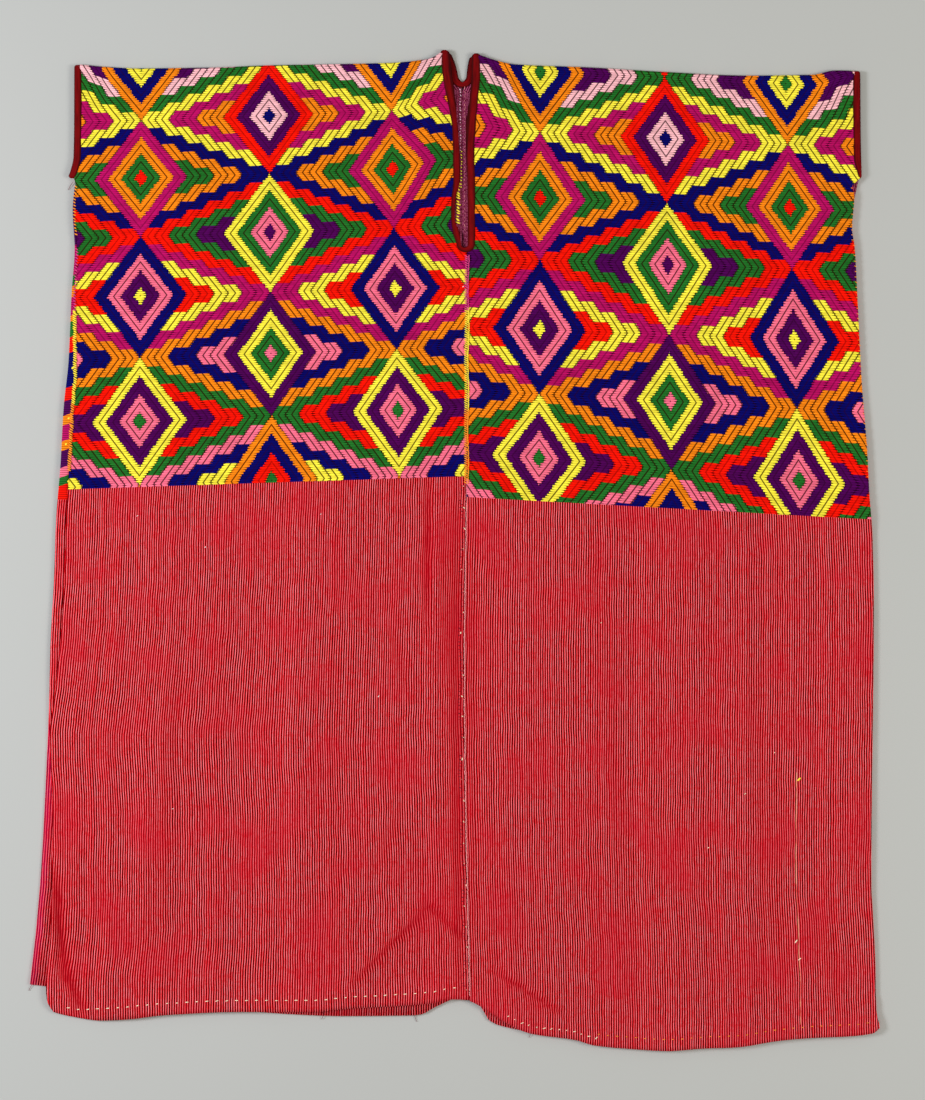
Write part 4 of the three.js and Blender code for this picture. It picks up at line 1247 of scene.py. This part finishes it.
def stitch_tree():
    tree = bpy.data.node_groups.new("stitches", "GeometryNodeTree")
    tree.interface.new_socket("Geometry", in_out="INPUT", socket_type="NodeSocketGeometry")
    for name, kind in STITCH_INPUTS:
        tree.interface.new_socket(name, in_out="INPUT", socket_type="NodeSocket" + kind)
    tree.interface.new_socket("Geometry", in_out="OUTPUT", socket_type="NodeSocketGeometry")
    line = add(tree, "NodeGroupInput")
    given = line.node.outputs

    def stray(step):
        """A random amount to either side of 0, of the given unevenness."""
        seed = add(tree, MATH, given["Seed"], step)
        chance = add(tree, "FunctionNodeRandomValue", -1.0, 1.0, None, seed, data_type="FLOAT")
        return add(tree, MATH, given["Unevenness"], chance, operation="MULTIPLY")

    curve = add(tree, "GeometryNodeMeshToCurve", line)
    points = add(tree, "GeometryNodeCurveToPoints", curve, mode="LENGTH", named={"Length": given["Spacing"]})
    tangent = points.node.outputs["Tangent"]
    ahead = add(tree, "FunctionNodeAlignRotationToVector", axis="X", named={"Vector": tangent})
    angle = add(tree, MATH, stray(0.0), 0.7, given["Slant"], operation="MULTIPLY_ADD")
    slant = add(tree, "FunctionNodeEulerToRotation", add(tree, "ShaderNodeCombineXYZ", 0.0, 0.0, angle))
    turned = add(tree, "FunctionNodeRotateRotation", ahead, slant, rotation_space="LOCAL")
    aside = add(tree, MATH, stray(1.0), given["Thickness"], operation="MULTIPLY")
    along = add(tree, MATH, stray(2.0), given["Thickness"], operation="MULTIPLY")
    offset = add(tree, "ShaderNodeCombineXYZ", aside, along)
    placed = add(tree, "GeometryNodeSetPosition", points, named={"Offset": offset})
    length = add(tree, MATH, stray(3.0), given["Length"], given["Length"], operation="MULTIPLY_ADD")
    width = add(tree, MATH, stray(4.0), add(tree, MATH, given["Thickness"], 0.5, operation="MULTIPLY"),
                given["Thickness"], operation="MULTIPLY_ADD")
    size = add(tree, "ShaderNodeCombineXYZ", length, width, width)
    stitch = add(tree, "GeometryNodeMeshUVSphere", 8, 6, 0.5)
    copies = add(tree, "GeometryNodeInstanceOnPoints", placed, named={
        "Instance": stitch, "Rotation": turned, "Scale": size})
    solid = add(tree, "GeometryNodeRealizeInstances", copies)
    made = add(tree, "GeometryNodeSetMaterial", solid, named={"Material": given["Thread"]})
    add(tree, "NodeGroupOutput", made)
    return tree


stitching = stitch_tree()


def plain_mesh(name, carrier):
    """What a carrier's nodes or bevel make, as a mesh of its own; the carrier goes."""
    made = carrier.evaluated_get(bpy.context.evaluated_depsgraph_get())
    mesh = bpy.data.meshes.new_from_object(made)
    bpy.data.objects.remove(carrier)
    mesh.name = name
    return mesh


def stitches(name, lines, thread, spacing, length, thickness, slant, unevenness, seed):
    """Stitches along lines of places, all in millimetres and degrees."""
    starts = np.cumsum([0] + [len(line) for line in lines])
    edges = [(start + i, start + i + 1) for start, line in zip(starts, lines) for i in range(len(line) - 1)]
    path = bpy.data.meshes.new(name + "_path")
    path.from_pydata((np.vstack(lines) * MM).tolist(), edges, [])
    carrier = in_scene(name + "_path", path)
    modifier = carrier.modifiers.new("stitches", "NODES")
    modifier.node_group = stitching
    values = {
        "Spacing": spacing * MM, "Length": length * MM, "Thickness": thickness * MM,
        "Slant": float(np.radians(slant)), "Unevenness": unevenness, "Seed": seed, "Thread": thread,
    }
    for item in stitching.interface.items_tree:
        if item.in_out == "INPUT" and item.name in values:
            modifier[item.identifier] = values[item.name]
    mesh = plain_mesh(name, carrier)
    mesh.polygons.foreach_set("use_smooth", np.ones(len(mesh.polygons), bool))
    return in_scene(name, mesh)


# %% Sewing thread
def sewing_thread(name, colour):
    """Twisted cotton: soft, matt, a little paler on the crown of each ply."""
    material, t = new_material(name)
    place = add(t, "ShaderNodeTexCoord", out=3)
    ply = add(t, "ShaderNodeTexNoise", place, named={"Scale": 1900.0, "Detail": 2.0})
    shade = add(t, "ShaderNodeMapRange", ply, 0.3, 0.7, 0.82, 1.1)
    dyed = add(t, "ShaderNodeVectorMath", linear(colour)[:3], operation="SCALE", named={"Scale": shade})
    bump = add(t, "ShaderNodeBump", named={"Strength": 0.4, "Distance": 0.0002, "Height": ply})
    shader = add(t, "ShaderNodeBsdfPrincipled", named={
        "Base Color": dyed, "Roughness": 0.8, "Specular IOR Level": 0.1, "Normal": bump})
    add(t, "ShaderNodeOutputMaterial", shader)
    return material


THREADS = {name: sewing_thread(name + "_thread", colour) for name, colour in {
    "magenta": "#DC4484", "yellow": "#FFE640", "orange": "#FF9A2A", "cream": "#FBE6C4", "mauve": "#E2B4C4",
    "rose": "#FC9E9E", "dark_red": "#701828", "white": "#F8F4EE",
}.items()}


# %% Lines of stitches
def on_front(panel, x, y, above=0.1):
    """Places on the front's face, or a little above it."""
    return np.stack([x, y, face_height(panel, x, y) + above], axis=-1)


BACK_SEAM_RISE = 0.6  # how far the back seam's threads stand over the cloth, as seen in the slit


def on_back(x, y):
    return np.stack([x + 0 * y, y, BROCADE_WALL + BACK_SEAM_RISE + 0 * y], axis=-1)


def heights(top, bottom):
    return np.linspace(top, bottom, 2 + int(abs(top - bottom) / 4))


def beside_seam(panel, top, bottom, away, wave, above=0.55):
    """A wavering line down the front's middle seam."""
    y = heights(top, bottom)
    return on_front(panel, through(FRONT_SEAM, "y", "x", y) + away + wave * np.sin(y / 9), y, above)


def left_side(top, bottom):
    y = heights(top, bottom)
    return on_front(LEFT, outer_edge(LEFT, "front", y) + 0.2 * np.sin(y / 3.1), y, 0.75)


def right_side(top, bottom):
    y = heights(top, bottom)
    return on_front(RIGHT, outer_edge(RIGHT, "front", y) - 0.5, y, 0.1)


def above_hem(panel, x, up):
    x = np.array(x, float)
    return on_front(panel, x, through(panel["front"], "x", "y", x) + up, 0.15)


# %% Seams and hems
sewn_lines = []  # name, line, thread, spacing, length, thickness, slant, unevenness, seed
for colour, top, bottom in (("magenta", 240, 197), ("yellow", 197, 114.5), ("orange", 114.5, 55)):
    crossed = beside_seam(LEFT, top, bottom, -0.5, 0.15)
    chained = beside_seam(RIGHT, top, bottom, 1.3, 0.4)
    sewn_lines += [
        ("seam_cross_" + colour, crossed, colour, 1.75, 3.6, 1.0, 64, 0.14, int(top)),
        ("seam_chain_" + colour, chained, colour, 1.8, 2.5, 0.9, -14, 0.2, int(top) + 1),
    ]
for colour, top, bottom, *sizes in (
        ("orange", 297, 258, 2.5, 2.6, 1.05), ("magenta", 246, 196, 2.5, 2.6, 1.05),
        ("yellow", 195, 120, 1.8, 3.8, 1.25), ("orange", 118.6, 65, 1.8, 3.8, 1.25)):
    name = f"side_{colour}_{top:.0f}"
    sewn_lines.append((name, left_side(top, bottom), colour, *sizes, 62, 0.18, int(top)))
sewn_lines += [
    ("seam_low", beside_seam(LEFT, 54, -364, 0.2, 0.1, 0.35), "rose", 1.8, 2.4, 0.72, 8, 0.3, 31),
    ("seam_tufts", beside_seam(LEFT, 52, -360, -3.4, 1.1, 0.05), "dark_red", 2.9, 2.0, 0.6, 75, 0.7, 47),
    ("seam_specks", beside_seam(LEFT, 52, -360, -1.6, 0.9, 0.3), "cream", 17.0, 1.5, 0.7, 30, 0.9, 32),
    ("side_right", right_side(296, 60), "orange", 4.3, 2.0, 0.6, 70, 0.4, 33),
    ("back_seam", on_back(4.8, heights(377, 327)), "mauve", 2.5, 1.5, 0.85, 40, 0.45, 34),
    ("back_seam_line", on_back(8.4, heights(378, 262)), "rose", 3.4, 2.0, 0.3, 4, 0.6, 35),
    ("back_seam_dots", on_back(5.6, heights(326, 297)), "yellow", 2.5, 1.5, 1.1, 60, 0.25, 39),
    ("back_seam_yellow", on_back(2.9, heights(300, 268)), "yellow", 2.3, 4.0, 1.5, 62, 0.3, 36),
    ("hem_left", above_hem(LEFT, np.arange(-316, 2, 4), 9.5), "cream", 8.0, 2.7, 0.8, 6, 0.2, 37),
    ("hem_notch", above_hem(RIGHT, np.arange(44, 118, 4), 6.5), "cream", 6.2, 2.3, 0.7, 40, 0.5, 40),
    ("hem_right", above_hem(RIGHT, np.arange(118, 342, 4), 9.6), "orange", 7.4, 1.9, 0.6, 5, 0.3, 38),
]
sewing = [stitches(name, [line], THREADS[thread], *sizes) for name, line, thread, *sizes in sewn_lines]
print("seams and hems:", len(sewing), "pieces")

# %% Knots and lint
def specks(name, panel, places, thread, length, thickness, seed):
    """A single stitch at each place."""
    ends = lambda x, y: (np.array([x, x + length * 0.6]), np.array([y, y + length * 0.5]))
    lines = [on_front(panel, *ends(x, y)) for x, y in places]
    return stitches(name, lines, THREADS[thread], 50.0, length, thickness, 0, 0.35, seed)


LEFT_LINT = [(-259.5, 27.6), (-203.8, 2.1), (-109.5, 29.2), (-62, -120), (-230, -212), (7, 215.3)]
sewing += [
    specks("knots", LEFT, [(-312, 149), (-316, 108), (-317.6, 86), (-316, 56)], "yellow", 2.6, 1.7, 41),
    specks("lint_left", LEFT, LEFT_LINT, "white", 1.5, 0.6, 42),
    specks("lint_right", RIGHT, [(120, -60), (208, -244), (262, -166), (238, -200)], "cream", 1.7, 0.7, 43),
    specks("warp_slubs", RIGHT, [(280, -321), (282.4, -335)], "cream", 3.2, 1.0, 45),
    specks("warp_knot", RIGHT, [(281.6, -187.5)], "yellow", 3.2, 1.5, 44),
]

# %% Loose thread ends
LOOSE_ENDS = [  # three places of each, in millimetres
    ((-108, -377, 3.2), (-106.5, -381, 2.4), (-109, -385, 0.6)),
    ((-33, -371, 3.2), (-34.5, -378, 1.2), (-31, -387, 0.5)),
    ((60, -393, 3.4), (63.5, -396, 1.8), (61, -400, 0.5)),
    ((-312.5, 301, 2.0), (-315, 298.5, 1.4), (-316.5, 295, 0.6)),
    ((-345, -355, 1.6), (-347.5, -358, 1.0), (-349, -361.5, 0.5)),
]
LOOSE_RADIUS = 0.18


def loose_ends(name, thread):
    curve = bpy.data.curves.new(name, "CURVE")
    curve.dimensions = "3D"
    curve.bevel_depth, curve.bevel_resolution, curve.use_fill_caps = LOOSE_RADIUS * MM, 1, True
    for places in LOOSE_ENDS:
        spline = curve.splines.new("NURBS")
        spline.points.add(len(places) - 1)
        spline.points.foreach_set("co", [v for x, y, z in places for v in (x * MM, y * MM, z * MM, 1.0)])
        spline.order_u, spline.use_endpoint_u, spline.resolution_u = 3, True, 6
    mesh = plain_mesh(name, in_scene(name + "_path", curve))
    mesh.materials.clear()
    mesh.materials.append(thread)
    return in_scene(name, mesh)


sewing.append(loose_ends("loose_ends", THREADS["dark_red"]))
print("sewing:", len(sewing), "pieces,", sum(len(piece.data.polygons) for piece in sewing), "faces")

# %% [markdown]
# ## The table, the light and the camera
#
# The garment lies on a pale grey table. A large soft light stands at the left and a weaker one at the right,
# and the room fills the rest. The camera looks straight down from a little over two metres.

# %% Table
def matt_table():
    """Matt paint: pale and even, barely mottled, with hardly a reflection."""
    material, t = new_material("matt_painted_table")
    place = add(t, "ShaderNodeTexCoord", out=3)
    mottle = add(t, "ShaderNodeTexNoise", place, named={"Scale": 1.5, "Detail": 3.0})
    colour = add(t, MIX, mottle, linear("#B1B2AD"), linear("#B9B9B4"), data_type="RGBA")
    shader = add(t, "ShaderNodeBsdfPrincipled", named={
        "Base Color": colour, "Roughness": 0.9, "Specular IOR Level": 0.1})
    add(t, "ShaderNodeOutputMaterial", shader)
    return material


TABLE_HALF = 4.0  # metres, so that its edge stays out of the camera's frame
TABLE_DROP = 0.2  # millimetres under the cloth
table_mesh = bpy.data.meshes.new("table")
corners = ((-1, -1), (1, -1), (1, 1), (-1, 1))
table_corners = [(x * TABLE_HALF, y * TABLE_HALF, -TABLE_DROP * MM) for x, y in corners]
table_mesh.from_pydata(table_corners, [], [(0, 1, 2, 3)])
table_mesh.materials.append(matt_table())
floor = in_scene("table", table_mesh)

# %% Light
world = bpy.data.worlds.new("room")
world.use_nodes = True
world.node_tree.nodes["Background"].inputs["Color"].default_value = linear("#F6F5F2")
world.node_tree.nodes["Background"].inputs["Strength"].default_value = 0.48
bpy.context.scene.world = world


def soft_light(name, place, size, power, colour):
    """A round lamp that looks at the origin."""
    light = bpy.data.lights.new(name, "AREA")
    light.shape, light.size, light.energy, light.color = "DISK", size, power, linear(colour)[:3]
    lamp = in_scene(name, light)
    lamp.location = place
    x, y, z = -np.array(place)
    lamp.rotation_euler = (np.arccos(-z / np.linalg.norm(place)), 0.0, np.arctan2(y, x) - np.pi / 2)


soft_light("window", (-1.6, 0.15, 1.25), 0.65, 33, "#F0F4FF")
soft_light("reflector", (1.6, -0.1, 1.5), 0.9, 21, "#FFFDF8")

# %% Camera
CAMERA_CENTRE = (6.6, -0.3)
FRAME_HEIGHT = 902.0  # of the table that the frame shows, in millimetres
LENS, SENSOR = 85.0, 36.0
camera_data = bpy.data.cameras.new("camera")
camera_data.lens, camera_data.sensor_width = LENS, SENSOR
camera = in_scene("camera", camera_data)
camera.location = (CAMERA_CENTRE[0] * MM, CAMERA_CENTRE[1] * MM, FRAME_HEIGHT * LENS / SENSOR * MM)
bpy.context.scene.camera = camera
bpy.context.scene.view_settings.view_transform = "Standard"

# %% [markdown]
# ## Fitting the pieces to the frame
#
# Each piece is named for what it is on the garment, and rides on the frame's one body. The two panels and the
# three ribbons each take the place of one solid. The sewing has no solid, because it is only looks.

# %% What each piece stands for
for piece, node in (
    (left_panel, "left_panel"), (right_panel, "right_panel"), (neck, "neck_binding"),
    (left_armhole, "left_armhole_binding"), (right_armhole, "right_armhole_binding"),
):
    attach(piece, "root")
    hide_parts(node)
for piece in (turned_edge, *sewing):
    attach(piece, "root")
